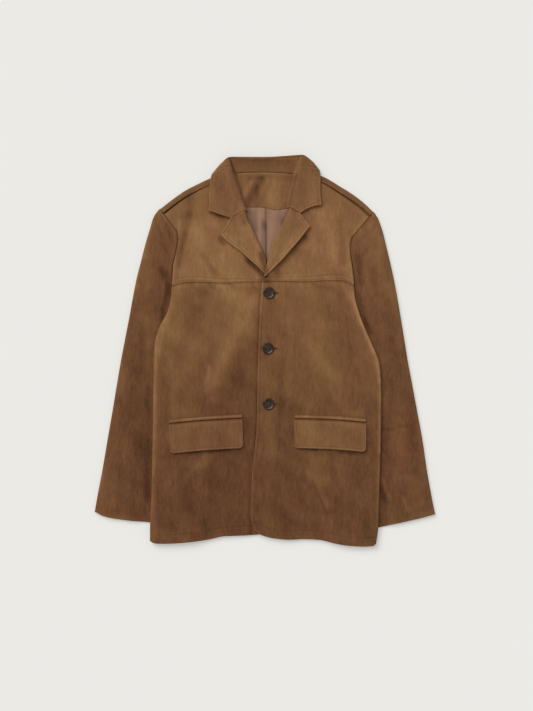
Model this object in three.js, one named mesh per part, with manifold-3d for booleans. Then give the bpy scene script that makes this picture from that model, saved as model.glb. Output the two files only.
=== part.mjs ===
// A three-button suede jacket that lies flat on its back, closed, with its sleeves partly under the body.
// Millimetres. X runs across the jacket to the wearer's left, Y from the hem to the collar, Z up.
import * as THREE from "three";
import { mergeVertices } from "three/addons/utils/BufferGeometryUtils.js";
import Module from "manifold-3d";

// Driving dimensions
const SUEDE = 2.2; // front cloth with its backing
const BACK_CLOTH = 2.0;
const SEAM_GAP = 0.3;
const CURVED_SEAM_GAP = 0.6; // where both edges of a seam are curved
const SIDE_RADIUS = 3.8; // how far the body's side and the sleeve's outer fold round over
const FRONT_TOP = 2 * SIDE_RADIUS + SEAM_GAP; // top of the front over the lowest point of the back
const SLEEVE_CLOTH = 2.0;
const TUCK_RADIUS = 2.15; // the sleeve's flat fold under the body
const TUCK_HEIGHT = 2 * TUCK_RADIUS + SEAM_GAP;
const BODY_RISE = TUCK_HEIGHT + SEAM_GAP; // how far the body is lifted where a sleeve lies under it
const OVERLAP_EDGE = 27; // how far the right front reaches past the centre, under the left front
const SHOULDER_WRAP = 13; // how far the back comes forward over the shoulder
const LAPEL_CLOTH = 2.8; // facing and front together
const FALL_CLOTH = 2.6;
const STAND_CLOTH = 2.0;
const STAND_SAG = 1.2;
const FACING_CLOTH = 1.5;
const LINING_CLOTH = 1.1;
const FLAP = { cloth: 2.6, corner: 13, lift: 2.4 };
const WELT = { width: 7.6, height: 2.6, gap: 1.2 };
const BUTTON = { diameter: 23, height: 3.6, hole: 2.2, spread: 2.7, segments: 18 };
const BUTTON_PLACES = [
  { name: "top", x: 9, y: 114.5 },
  { name: "middle", x: 7, y: 3.5 },
  { name: "bottom", x: 8, y: -107.5 },
];

const COLOURS = {
  suede: 0x7a5837,
  lining: 0x89664f,
  horn: 0x412f22,
};

// Outlines. Right and left are the wearer's, and each is measured outwards from the centre.
const bodySide = [
  { y: 290, right: 215, left: 229 },
  { y: 282, right: 209, left: 223 },
  { y: 274, right: 203, left: 216 },
  { y: 250, right: 185, left: 196 },
  { y: 236, right: 175, left: 184 },
  { y: 224, right: 173.5, left: 175 },
  { y: 200, right: 177, left: 171.5 },
  { y: 170, right: 183, left: 175.5 },
  { y: 140, right: 185, left: 179 },
  { y: 110, right: 187, left: 181 },
  { y: 80, right: 193, left: 188 },
  { y: 44, right: 211, left: 201 },
  { y: 10, right: 220, left: 216 },
  { y: -30, right: 222, left: 231 },
  { y: -100, right: 223, left: 234 },
  { y: -180, right: 224, left: 233 },
  { y: -300, right: 227, left: 229.5 },
  { y: -345, right: 229, left: 228.5 },
  { y: -387, right: 229.4, left: 223.5 },
];
const yokeSeam = [
  { x: -30, right: 137.5, left: 137.5 },
  { x: 30, right: 136.5, left: 137 },
  { x: 80, right: 133.8, left: 136.5 },
  { x: 130, right: 135.5, left: 138.5 },
  { x: 155, right: 135, left: 138 },
  { x: 182, right: 128.5, left: 128 },
];
const hem = [
  { x: -30, right: -366.5, left: -319 },
  { x: -27.5, right: -366.5, left: -333 },
  { x: -25, right: -367, left: -347 },
  { x: -20, right: -367, left: -360.5 },
  { x: -8, right: -367, left: -369 },
  { x: 17, right: -367.5, left: -376 },
  { x: 50, right: -368.5, left: -378 },
  { x: 80, right: -371.5, left: -377.6 },
  { x: 110, right: -375.5, left: -378 },
  { x: 140, right: -381, left: -384 },
  { x: 170, right: -385.5, left: -391 },
  { x: 200, right: -386.8, left: -392.5 },
  { x: 216, right: -386.5, left: -391.5 },
  { x: 230, right: -382, left: -384 },
];
const placket = [
  { y: 138, edge: -5 },
  { y: 60, edge: -10 },
  { y: -20, edge: -13 },
  { y: -160, edge: -16 },
  { y: -240, edge: -24 },
  { y: -320, edge: -28 },
];
const shoulderFold = [
  { x: 0, right: 356, left: 356 },
  { x: 60, right: 353, left: 352 },
  { x: 85, right: 348.5, left: 351.5 },
  { x: 97, right: 346.5, left: 351 },
  { x: 109, right: 343, left: 348 },
  { x: 121, right: 338, left: 343 },
  { x: 137, right: 330.5, left: 335.5 },
  { x: 153, right: 322.5, left: 325.5 },
  { x: 169, right: 312.5, left: 315.5 },
  { x: 185, right: 300.5, left: 304.5 },
  { x: 201, right: 288.5, left: 291.5 },
  { x: 219, right: 273.5, left: 274.5 },
];
// The yoke's inner edge: under the overlap, along the lapel's roll, then up the neck seam.
const yokeInner = {
  right: [
    { x: -27, y: 138 },
    { x: -14, y: 140.5 },
    { x: -5, y: 143.5 },
    { x: 1.5, y: 148 },
    { x: 4.8, y: 156 },
    { x: 5.4, y: 172 },
    { x: 11, y: 197 },
    { x: 19.5, y: 217 },
    { x: 28, y: 235 },
    { x: 35, y: 251 },
    { x: 44, y: 266 },
    { x: 60, y: 279 },
    { x: 78, y: 293 },
    { x: 90, y: 312 },
    { x: 97, y: 331 },
  ],
  left: [
    { x: -5, y: 138 },
    { x: 0, y: 143 },
    { x: 6, y: 149 },
    { x: 10, y: 164 },
    { x: 15, y: 184 },
    { x: 22, y: 208 },
    { x: 30, y: 228 },
    { x: 41, y: 248 },
    { x: 51, y: 266 },
    { x: 64, y: 280 },
    { x: 79, y: 294 },
    { x: 90, y: 312 },
    { x: 97, y: 335 },
  ],
};
// A lapel, a row for each station up from the bottom of the V: where it rolls, and its free edge.
const lapels = {
  right: [
    { rollX: -1.6, rollY: 152.5, edgeX: 2.6, edgeY: 155.5, height: 4.0 },
    { rollX: -1.8, rollY: 163, edgeX: 12, edgeY: 166.5, height: 4.2 },
    { rollX: -1.4, rollY: 176, edgeX: 27, edgeY: 179, height: 4.6 },
    { rollX: 5, rollY: 196.5, edgeX: 47, edgeY: 197, height: 5.4 },
    { rollX: 13, rollY: 214.5, edgeX: 65, edgeY: 210, height: 6.2 },
    { rollX: 21, rollY: 231.5, edgeX: 80, edgeY: 222.5, height: 6.8 },
    { rollX: 28, rollY: 247.5, edgeX: 88, edgeY: 230.5, height: 7.2 },
    { rollX: 35, rollY: 264, edgeX: 76, edgeY: 250.5, height: 7.6 },
    { rollX: 38, rollY: 275, edgeX: 65.5, edgeY: 267.5, height: 7.8 },
  ],
  left: [
    { rollX: 3.2, rollY: 150.5, edgeX: 7, edgeY: 152.5, height: 4.0 },
    { rollX: 6, rollY: 165, edgeX: 20, edgeY: 165, height: 4.4 },
    { rollX: 9.6, rollY: 182, edgeX: 35, edgeY: 180, height: 5.0 },
    { rollX: 15, rollY: 208, edgeX: 56, edgeY: 202, height: 5.8 },
    { rollX: 22, rollY: 226, edgeX: 71, edgeY: 218.5, height: 6.4 },
    { rollX: 31, rollY: 243, edgeX: 83, edgeY: 233.5, height: 7.0 },
    { rollX: 38, rollY: 254, edgeX: 93, edgeY: 246.5, height: 7.4 },
    { rollX: 44, rollY: 267, edgeX: 82, edgeY: 259.5, height: 7.6 },
    { rollX: 48.5, rollY: 278.5, edgeX: 71.5, edgeY: 271.5, height: 7.8 },
  ],
};
// The collar fall, a row for each station from a leaf's front edge round to the centre back.
// in is just inside the roll, top the roll itself, mid the slope and out the free edge.
const fallStations = {
  right: [
    { in: [36, 279.5, 11.6], top: [38.5, 280, 15.6], mid: [71.5, 266.5, 12.6], out: [109, 279.5, 11.2] },
    { in: [40.5, 291, 12], top: [44, 292, 16], mid: [78, 285, 13.6], out: [111, 292, 11.2] },
    { in: [48.5, 310, 12.6], top: [52, 311, 16.6], mid: [82, 306, 14.4], out: [111, 308, 11.4] },
    { in: [55.5, 330, 13.2], top: [59, 331, 17.2], mid: [86, 327, 15], out: [110.5, 324, 11.6] },
    { in: [61.5, 350, 13.8], top: [65, 351, 17.8], mid: [88, 344.5, 15.6], out: [109, 336.5, 12] },
    { in: [65.5, 369, 14.4], top: [69, 371, 18.2], mid: [87.5, 361, 15.4], out: [107.5, 345.5, 12] },
    { in: [67.5, 380.5, 14.8], top: [71.5, 384, 18.4], mid: [90.5, 371, 11], out: [106.5, 351, 7.5] },
    { in: [59, 381.8, 14.8], top: [61, 385.3, 18.2], mid: [82, 377.5, 4.5], out: [97, 358.5, 1.2] },
    { in: [38, 381.2, 14.8], top: [38.5, 384.8, 18], mid: [52, 382.5, 2.6], out: [66, 362.5, 0.1] },
    { in: [0, 381, 14.8], top: [0, 384.6, 18], mid: [0, 384, 2.4], out: [0, 363, 0.1] },
  ],
  left: [
    { in: [46.5, 285, 11.6], top: [49.5, 285.5, 15.6], mid: [74, 275.5, 12.8], out: [112.5, 290, 11.2] },
    { in: [48.5, 296, 12], top: [52, 297, 16], mid: [80, 290.5, 13.6], out: [112, 301, 11.2] },
    { in: [52.5, 312, 12.6], top: [56, 313, 16.6], mid: [84, 309, 14.4], out: [111.3, 314, 11.4] },
    { in: [58, 331, 13.2], top: [61.5, 332, 17.2], mid: [88, 330, 15], out: [111, 329, 11.6] },
    { in: [63, 351, 13.8], top: [66.5, 352, 17.8], mid: [90, 347, 15.6], out: [110.5, 342, 12] },
    { in: [66.5, 371, 14.4], top: [70, 373, 18.2], mid: [89.5, 365, 15.4], out: [110, 351, 12] },
    { in: [69.5, 385, 14.8], top: [74.5, 389.5, 18.4], mid: [93, 377, 11], out: [108, 358, 7.5] },
    { in: [60, 386, 14.8], top: [63, 388.8, 18.2], mid: [84, 381, 4.5], out: [98, 361.5, 1.2] },
    { in: [38, 383, 14.8], top: [38.5, 386.6, 18], mid: [52, 384, 2.6], out: [66, 363.5, 0.1] },
  ],
};
// The collar stand, a row for each station like the fall's: its seam on the neck and its edge under the roll.
const standStations = {
  right: [
    { seam: [72.5, 292, 7.9], top: [41.8, 291.4, 10.5] },
    { seam: [86, 310, 7.9], top: [49.5, 310.2, 11.1] },
    { seam: [92, 325, 8], top: [56.4, 330, 11.7] },
    { seam: [87, 336, 8], top: [62.2, 349.6, 12.3] },
    { seam: [78, 344, 6.8], top: [66, 368, 12.9] },
    { seam: [70.5, 351.5, 6], top: [67, 379.6, 13.3] },
    { seam: [58, 354.5, 5.8], top: [58.4, 380.8, 13.3] },
    { seam: [36, 356.3, 5.8], top: [37.6, 380.2, 13.3] },
    { seam: [0, 357, 5.8], top: [0, 380, 13.3] },
  ],
  left: [
    { seam: [72.5, 292.5, 7.9], top: [49.8, 296.4, 10.5] },
    { seam: [85.5, 310, 7.9], top: [53.6, 312.2, 11.1] },
    { seam: [91.5, 327, 8], top: [59, 331, 11.7] },
    { seam: [88, 338, 8], top: [63.8, 350.6, 12.3] },
    { seam: [79, 345, 6.8], top: [67, 370, 12.9] },
    { seam: [71.5, 350.5, 6], top: [67.5, 381, 13.3] },
    { seam: [59, 353.2, 5.8], top: [58.6, 381.6, 13.3] },
    { seam: [36, 355.5, 5.8], top: [37.6, 380.4, 13.3] },
  ],
};
// A sleeve, a row for each station from the shoulder to the cuff: its inner and its outer edge.
// Where innerX isn't given the sleeve is sewn into the armhole, so its edge is the body's.
const sleeveStations = {
  right: [
    { innerY: 273, outerX: 211.4, outerY: 281.4, tuck: 0 },
    { innerY: 260, outerX: 218, outerY: 273.5, tuck: 0 },
    { innerY: 248, outerX: 224, outerY: 262, tuck: 0 },
    { innerY: 236, outerX: 229, outerY: 245, tuck: 0 },
    { innerY: 221, outerX: 234.5, outerY: 227, tuck: 0 },
    { innerY: 200, outerX: 241, outerY: 204, tuck: 0 },
    { innerY: 175, outerX: 247.5, outerY: 178, tuck: 0.1 },
    { innerY: 146, outerX: 256, outerY: 145, tuck: 0.6 },
    { innerX: 184, innerY: 112, outerX: 263, outerY: 110, tuck: 1 },
    { innerX: 183, innerY: 72, outerX: 270, outerY: 71, tuck: 1 },
    { innerX: 172, innerY: 30, outerX: 278, outerY: 30, tuck: 1 },
    { innerX: 150, innerY: -20, outerX: 287.5, outerY: -20, tuck: 1 },
    { innerX: 140, innerY: -70, outerX: 296, outerY: -70, tuck: 1 },
    { innerX: 143, innerY: -125, outerX: 305, outerY: -124, tuck: 1 },
    { innerX: 154, innerY: -185, outerX: 315, outerY: -182, tuck: 1 },
    { innerX: 168, innerY: -240, outerX: 324.5, outerY: -238, tuck: 1 },
    { innerX: 182, innerY: -295, outerX: 333.5, outerY: -285, tuck: 1 },
    { innerX: 195, innerY: -345.5, outerX: 340, outerY: -321.5, tuck: 1 },
  ],
  left: [
    { innerY: 267.6, outerX: 220.5, outerY: 275, tuck: 0 },
    { innerY: 260, outerX: 226, outerY: 262, tuck: 0 },
    { innerY: 248, outerX: 231, outerY: 248, tuck: 0 },
    { innerY: 236, outerX: 235, outerY: 236, tuck: 0 },
    { innerY: 221, outerX: 239, outerY: 220, tuck: 0 },
    { innerY: 200, outerX: 243.5, outerY: 200, tuck: 0 },
    { innerY: 175, outerX: 249, outerY: 175, tuck: 0.1 },
    { innerY: 146, outerX: 256, outerY: 145, tuck: 0.6 },
    { innerX: 179.5, innerY: 112, outerX: 263, outerY: 110, tuck: 1 },
    { innerX: 178, innerY: 72, outerX: 270, outerY: 71, tuck: 1 },
    { innerX: 168, innerY: 30, outerX: 277, outerY: 30, tuck: 1 },
    { innerX: 150, innerY: -20, outerX: 284.5, outerY: -20, tuck: 1 },
    { innerX: 141, innerY: -70, outerX: 294, outerY: -70, tuck: 1 },
    { innerX: 144, innerY: -125, outerX: 304, outerY: -124, tuck: 1 },
    { innerX: 155, innerY: -190, outerX: 314.5, outerY: -182, tuck: 1 },
    { innerX: 168, innerY: -247, outerX: 322.5, outerY: -238, tuck: 1 },
    { innerX: 182, innerY: -303, outerX: 332, outerY: -288, tuck: 1 },
    { innerX: 196, innerY: -355.5, outerX: 340, outerY: -322.5, tuck: 1 },
  ],
};
const cuffSag = {
  right: [
    { part: 0.25, drop: 1 },
    { part: 0.8, drop: 3.5 },
  ],
  left: [
    { part: 0.25, drop: 1 },
    { part: 0.8, drop: 1.5 },
  ],
};
const pockets = {
  right: { inner: 44, outer: 190, innerY: -137, outerY: -147.5, middleY: 1.5, depth: 54, tilt: -1.5 },
  left: { inner: 62, outer: 203, innerY: -138, outerY: -145.5, middleY: 2, depth: 55.5, tilt: -0.5 },
};

// Heights at which the back, yokes and sleeves share their armhole's points, and where each armhole ends.
const ARMHOLE_BOTTOM = 128;
const ARMHOLE_ROWS = [146, 175, 200, 221, 236, 248, 260];
const ARMHOLE_TOP = { right: 273, left: 267.6 };
const ARMHOLE_BACK_TOP = 276;
const YOKE_LEVEL = 138;
const YOKE_ROWS = [137, ...ARMHOLE_ROWS];
const BACK_HEM = -384;
const BACK_ROWS = [-320, -250, -180, -110, -40, 30, 80, 112];
const LINING_END = 134;

// Where the body starts to rise over the tucked sleeve, inwards of the sleeve's inner fold.
const RISE_FROM = 96;
const RISE_TO = 34;

// Soft folds: a ridge (height over 0) or a trough (under 0) along a line, and how wide it is.
const frontFolds = [
  { x0: -128, y0: 196, x1: -98, y1: 150, width: 9, height: -1.6 },
  { x0: -158, y0: 286, x1: -164, y1: 210, width: 10, height: -1.8 },
  { x0: -164, y0: 210, x1: -178, y1: 156, width: 9, height: -1.6 },
  { x0: -182, y0: 228, x1: -172, y1: 226, width: 11, height: -1.4 },
  { x0: 206, y0: 262, x1: 176, y1: 226, width: 10, height: -1.4 },
  { x0: 140, y0: 250, x1: 160, y1: 172, width: 12, height: -1.8 },
  { x0: -16, y0: 84, x1: -100, y1: -96, width: 26, height: 1.5 },
  { x0: -70, y0: 60, x1: -112, y1: -60, width: 22, height: -1.6 },
  { x0: -120, y0: -36, x1: -106, y1: -86, width: 10, height: -2.2 },
  { x0: -130, y0: 124, x1: -104, y1: 40, width: 18, height: -1.5 },
  { x0: -196, y0: -20, x1: -176, y1: -110, width: 14, height: -1.2 },
  { x0: -150, y0: -220, x1: -160, y1: -366, width: 14, height: -1.4 },
  { x0: -70, y0: -214, x1: -60, y1: -340, width: 18, height: 1.2 },
  { x0: 30, y0: 40, x1: 34, y1: -200, width: 10, height: -1.6 },
  { x0: 70, y0: 50, x1: 160, y1: -100, width: 22, height: 1.6 },
  { x0: 110, y0: 60, x1: 190, y1: -60, width: 18, height: -1.4 },
  { x0: 77, y0: -212, x1: 86, y1: -262, width: 9, height: -2 },
  { x0: 86, y0: -262, x1: 130, y1: -342, width: 13, height: -1.4 },
  { x0: 180, y0: -214, x1: 176, y1: -372, width: 16, height: 1.2 },
];
const sleeveFolds = [
  { x0: -236, y0: 150, x1: -262, y1: -20, width: 14, height: -1.6 },
  { x0: -236, y0: 30, x1: -262, y1: -70, width: 12, height: 1.6 },
  { x0: -300, y0: -200, x1: -316, y1: -320, width: 12, height: 1.8 },
  { x0: -262, y0: -150, x1: -286, y1: -330, width: 14, height: -1.6 },
  { x0: 212, y0: 200, x1: 236, y1: 90, width: 14, height: -1.6 },
  { x0: 240, y0: 60, x1: 262, y1: -80, width: 14, height: 1.6 },
  { x0: 238, y0: -162, x1: 286, y1: -150, width: 8, height: -2.2 },
  { x0: 234, y0: -262, x1: 256, y1: -300, width: 10, height: -2.4 },
  { x0: 286, y0: -290, x1: 292, y1: -322, width: 7, height: -1.4 },
  { x0: 300, y0: -180, x1: 318, y1: -300, width: 12, height: 1.4 },
];
const facingFolds = [
  { x0: -6, y0: 344, x1: -34, y1: 290, width: 5, height: 0.9 },
  { x0: -15, y0: 330, x1: -14, y1: 290, width: 4, height: 0.8 },
  { x0: 24, y0: 346, x1: 34, y1: 292, width: 7, height: 0.7 },
];

// Numbers
const clamp = THREE.MathUtils.clamp;
const mix = THREE.MathUtils.lerp;
const smooth = (from, to, value) => THREE.MathUtils.smoothstep(value, from, to);
const smoothDown = (from, to, value) => 1 - smooth(from, to, value);
const steps = (count) => Array.from({ length: count + 1 }, (_, i) => i / count);

// A curve through one column of a table against its key column, which doesn't overshoot a row.
function column(table, key, name) {
  const rows = [...table].sort((a, b) => a[key] - b[key]);
  const secants = rows.slice(1).map((row, i) => (row[name] - rows[i][name]) / (row[key] - rows[i][key]));
  const slopes = rows.map((_, i) => {
    const before = secants[Math.max(i - 1, 0)];
    const after = secants[Math.min(i, secants.length - 1)];
    return before * after <= 0 ? 0 : (2 * before * after) / (before + after);
  });
  return (value) => {
    const at = clamp(value, rows[0][key], rows.at(-1)[key]);
    const next = Math.max(1, rows.findIndex((row) => row[key] >= at));
    const span = rows[next][key] - rows[next - 1][key];
    const t = (at - rows[next - 1][key]) / span;
    const rise = slopes[next - 1] * span * t * (1 - t) ** 2 - slopes[next] * span * t * t * (1 - t);
    return mix(rows[next - 1][name], rows[next][name], t * t * (3 - 2 * t)) + rise;
  };
}

// A smooth plan curve through points, by its share of the length.
function planCurve(points) {
  const curve = new THREE.CatmullRomCurve3(
    points.map((p) => new THREE.Vector3(p.x, p.y, 0)),
    false,
    "centripetal",
  );
  return (share) => curve.getPointAt(clamp(share, 0, 1));
}

function relief(folds, x, y) {
  return folds.reduce((sum, fold) => {
    const dx = fold.x1 - fold.x0;
    const dy = fold.y1 - fold.y0;
    const along = clamp(((x - fold.x0) * dx + (y - fold.y0) * dy) / (dx * dx + dy * dy), 0, 1);
    const away = Math.hypot(x - fold.x0 - along * dx, y - fold.y0 - along * dy) / fold.width;
    return sum + fold.height * Math.exp(-away * away);
  }, 0);
}

// Solids. A wall is closed from a grid of points on its outer face and one on its inner face.
function wall(grid) {
  const outer = grid.map((row) => row.map((cell) => cell.outer));
  const inner = grid.map((row) => row.map((cell) => cell.inner));
  const rows = outer.length;
  const columns = outer[0].length;
  const positions = [...outer.flat(), ...inner.flat()].flat();
  const top = (i, j) => i * columns + j;
  const under = (i, j) => rows * columns + i * columns + j;
  const index = [];
  const quad = (a, b, c, d) => index.push(a, b, c, a, c, d);
  for (let i = 0; i < rows - 1; i++) {
    for (let j = 0; j < columns - 1; j++) {
      quad(top(i, j), top(i + 1, j), top(i + 1, j + 1), top(i, j + 1));
      quad(under(i, j), under(i, j + 1), under(i + 1, j + 1), under(i + 1, j));
    }
  }
  for (let i = 0; i < rows - 1; i++) {
    quad(top(i, 0), under(i, 0), under(i + 1, 0), top(i + 1, 0));
    quad(top(i, columns - 1), top(i + 1, columns - 1), under(i + 1, columns - 1), under(i, columns - 1));
  }
  for (let j = 0; j < columns - 1; j++) {
    quad(top(0, j), top(0, j + 1), under(0, j + 1), under(0, j));
    quad(top(rows - 1, j), under(rows - 1, j), under(rows - 1, j + 1), top(rows - 1, j + 1));
  }
  const geometry = new THREE.BufferGeometry();
  geometry.setAttribute("position", new THREE.Float32BufferAttribute(positions, 3));
  geometry.setIndex(index);
  return facingOut(geometry);
}

function facingOut(geometry) {
  const p = geometry.getAttribute("position");
  const index = geometry.index;
  const corner = (k) => new THREE.Vector3().fromBufferAttribute(p, index.getX(k));
  let volume = 0;
  for (let k = 0; k < index.count; k += 3) {
    volume += corner(k).dot(corner(k + 1).cross(corner(k + 2)));
  }
  if (volume < 0) {
    for (let k = 0; k < index.count; k += 3) {
      const held = index.getX(k + 1);
      index.setX(k + 1, index.getX(k + 2));
      index.setX(k + 2, held);
    }
  }
  geometry.computeVertexNormals();
  return geometry;
}

// A grid given by its outer face only: the inner face lies one thickness behind, along the surface's normal.
function thickened(points, thickness, turn) {
  const at = (i, j) => points[clamp(i, 0, points.length - 1)][clamp(j, 0, points[0].length - 1)];
  return points.map((row, i) =>
    row.map((p, j) => {
      const along = new THREE.Vector3().subVectors(at(i + 1, j), at(i - 1, j));
      const across = new THREE.Vector3().subVectors(at(i, j + 1), at(i, j - 1));
      const normal = along.cross(across).normalize().multiplyScalar(turn * thickness);
      return { outer: p.toArray(), inner: [p.x - normal.x, p.y - normal.y, p.z - normal.z] };
    }),
  );
}

// The body's height over the surface, lifted where a sleeve is tucked under it.
const sides = {
  right: { sign: -1, edge: column(bodySide, "y", "right") },
  left: { sign: 1, edge: column(bodySide, "y", "left") },
};
for (const [name, side] of Object.entries(sides)) {
  for (const row of sleeveStations[name]) {
    row.innerX ??= side.edge(row.innerY) + CURVED_SEAM_GAP;
  }
  side.seam = column(yokeSeam, "x", name);
  side.hem = column(hem, "x", name);
  side.shoulder = column(shoulderFold, "x", name);
  side.tuck = column(sleeveStations[name], "innerY", "innerX");
}
const sideOf = (x) => (x < 0 ? sides.right : sides.left);

function bodyRise(x, y) {
  const side = sideOf(x);
  const out = Math.abs(x);
  const across = smooth(side.tuck(y) - RISE_FROM, side.tuck(y) - RISE_TO, out);
  return BODY_RISE * across * smoothDown(ARMHOLE_BOTTOM + 20, ARMHOLE_BOTTOM + 77, y);
}

function frontTop(side, x, y) {
  const laps = side.sign > 0 ? SUEDE + 2 * SEAM_GAP : 0;
  const overlap = laps * smoothDown(OVERLAP_EDGE + 3, OVERLAP_EDGE + 50, x);
  const nearNeck = smooth(20, 46, lapelDistance(side, x, y));
  const folds = Math.max(relief(frontFolds, x, y) * nearNeck, -2.2);
  return bodyRise(x, y) + FRONT_TOP + overlap + folds;
}

// How far a point lies outside the lapel's free edge, roughly: folds fade out under the lapel and collar.
function lapelDistance(side, x, y) {
  if (y < 130) return 100;
  return side.sign * x - mix(-10, 95, smooth(130, 235, y));
}

// How round an edge is: 0 where two pieces meet level, 1 where the cloth turns right over.
const edgeRound = (y) => mix(0.12, 1, smoothDown(150, 200, y));
const TURN = [90, 62, 32, 0].map((degrees) => THREE.MathUtils.degToRad(degrees));

// One cell of an edge that turns down by its radius (or up, where way is -1), outwards along X by sign.
function turned(cell, sign, radius, thickness, round, angle, way) {
  const { x, y, z } = cell;
  const inward = radius * (1 - Math.cos(angle));
  const fall = round * radius * (1 - Math.sin(angle));
  const thick = thickness * round;
  const innerX = x - sign * (radius - (radius - thick) * Math.cos(angle));
  const innerFall = round * (radius - thickness) * (1 - Math.sin(angle));
  return {
    outer: [x - sign * inward, y, z - way * fall],
    inner: [innerX, y, z - way * (thickness + innerFall)],
  };
}

// Front pieces below the yoke seam.
function frontPanel(name) {
  const side = sides[name];
  const over = side.sign > 0;
  const edge = column(placket, "y", "edge");
  const inside = (y) => (over ? edge(y) : -OVERLAP_EDGE);
  const acrossShares = over
    ? [0, 0.007, 0.025, 0.06, 0.12, 0.2, 0.28, 0.37, 0.46, 0.55, 0.64, 0.73, 0.82, 0.91, 1]
    : [0, 0.11, 0.2, 0.29, 0.38, 0.47, 0.56, 0.65, 0.74, 0.83, 0.92, 1];
  const rowAt = (end, t) => {
    let y = mix(YOKE_LEVEL, BACK_HEM, t);
    for (let k = 0; k < 3; k++) {
      y = mix(side.seam(end(y)), side.hem(end(y)), t);
    }
    return end(y);
  };
  const grid = steps(16).map((t) => {
    const from = rowAt(inside, t);
    const to = rowAt(side.edge, t);
    const cells = acrossShares.map((s) => {
      const out = mix(from, to - SIDE_RADIUS, s);
      const y = mix(side.seam(out), side.hem(out), t);
      const z = frontTop(side, side.sign * out, y);
      return { outer: [side.sign * out, y, z], inner: [side.sign * out, y, z - SUEDE] };
    });
    const y = mix(side.seam(to), side.hem(to), t);
    const z = bodyRise(side.sign * to, y) + FRONT_TOP;
    const round = TURN.slice(1).map((angle) =>
      turned({ x: side.sign * to, y, z }, side.sign, SIDE_RADIUS, SUEDE, edgeRound(y), angle, 1),
    );
    return [...cells, ...round];
  });
  return wall(grid);
}

// The yoke, blended from its four edges.
function yoke(name) {
  const side = sides[name];
  const inner = planCurve(yokeInner[name]);
  const armTop = ARMHOLE_TOP[name];
  const shoulderSeam = (x) => side.shoulder(x) - SHOULDER_WRAP - CURVED_SEAM_GAP;
  const acrossShares = [0, 0.08, 0.17, 0.27, 0.37, 0.47, 0.58, 0.69, 0.8, 0.9, 1];
  const bottomEnd = side.edge(ARMHOLE_BOTTOM) - SIDE_RADIUS;
  const topEnd = side.edge(armTop) - SIDE_RADIUS;
  const bottomY = side.seam(side.edge(ARMHOLE_BOTTOM)) + CURVED_SEAM_GAP;
  const outer = (t) => {
    const y = mix(bottomY, armTop, t);
    return { x: side.edge(y), y };
  };
  // Inner and outer corner, below and above
  const low = [yokeInner[name][0], { x: bottomEnd, y: bottomY }];
  const high = [yokeInner[name].at(-1), { x: topEnd, y: shoulderSeam(topEnd) }];
  const heights = [bottomY, ...YOKE_ROWS, armTop];
  const grid = heights.map((height) => {
    const t = (height - bottomY) / (armTop - bottomY);
    const from = inner(t);
    const rim = outer(t);
    const to = { x: rim.x - SIDE_RADIUS, y: rim.y };
    const cells = acrossShares.map((s) => {
      const bottomX = mix(low[0].x, bottomEnd, s);
      const topX = mix(high[0].x, topEnd, s);
      const bottom = { x: bottomX, y: side.seam(bottomX) + CURVED_SEAM_GAP };
      const top = { x: topX, y: shoulderSeam(topX) };
      const corner = (key) => mix(mix(low[0][key], low[1][key], s), mix(high[0][key], high[1][key], s), t);
      const out = mix(bottom.x, top.x, t) + mix(from.x, to.x, s) - corner("x");
      const y = mix(bottom.y, top.y, t) + mix(from.y, to.y, s) - corner("y");
      const z = frontTop(side, side.sign * out, y);
      return { outer: [side.sign * out, y, z], inner: [side.sign * out, y, z - SUEDE] };
    });
    const z = bodyRise(side.sign * rim.x, rim.y) + FRONT_TOP;
    const edge = { x: side.sign * rim.x, y: rim.y, z };
    const round = TURN.slice(1).map((angle) =>
      turned(edge, side.sign, SIDE_RADIUS, SUEDE, edgeRound(rim.y), angle, 1),
    );
    return [...cells, ...round];
  });
  return wall(grid);
}

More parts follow.
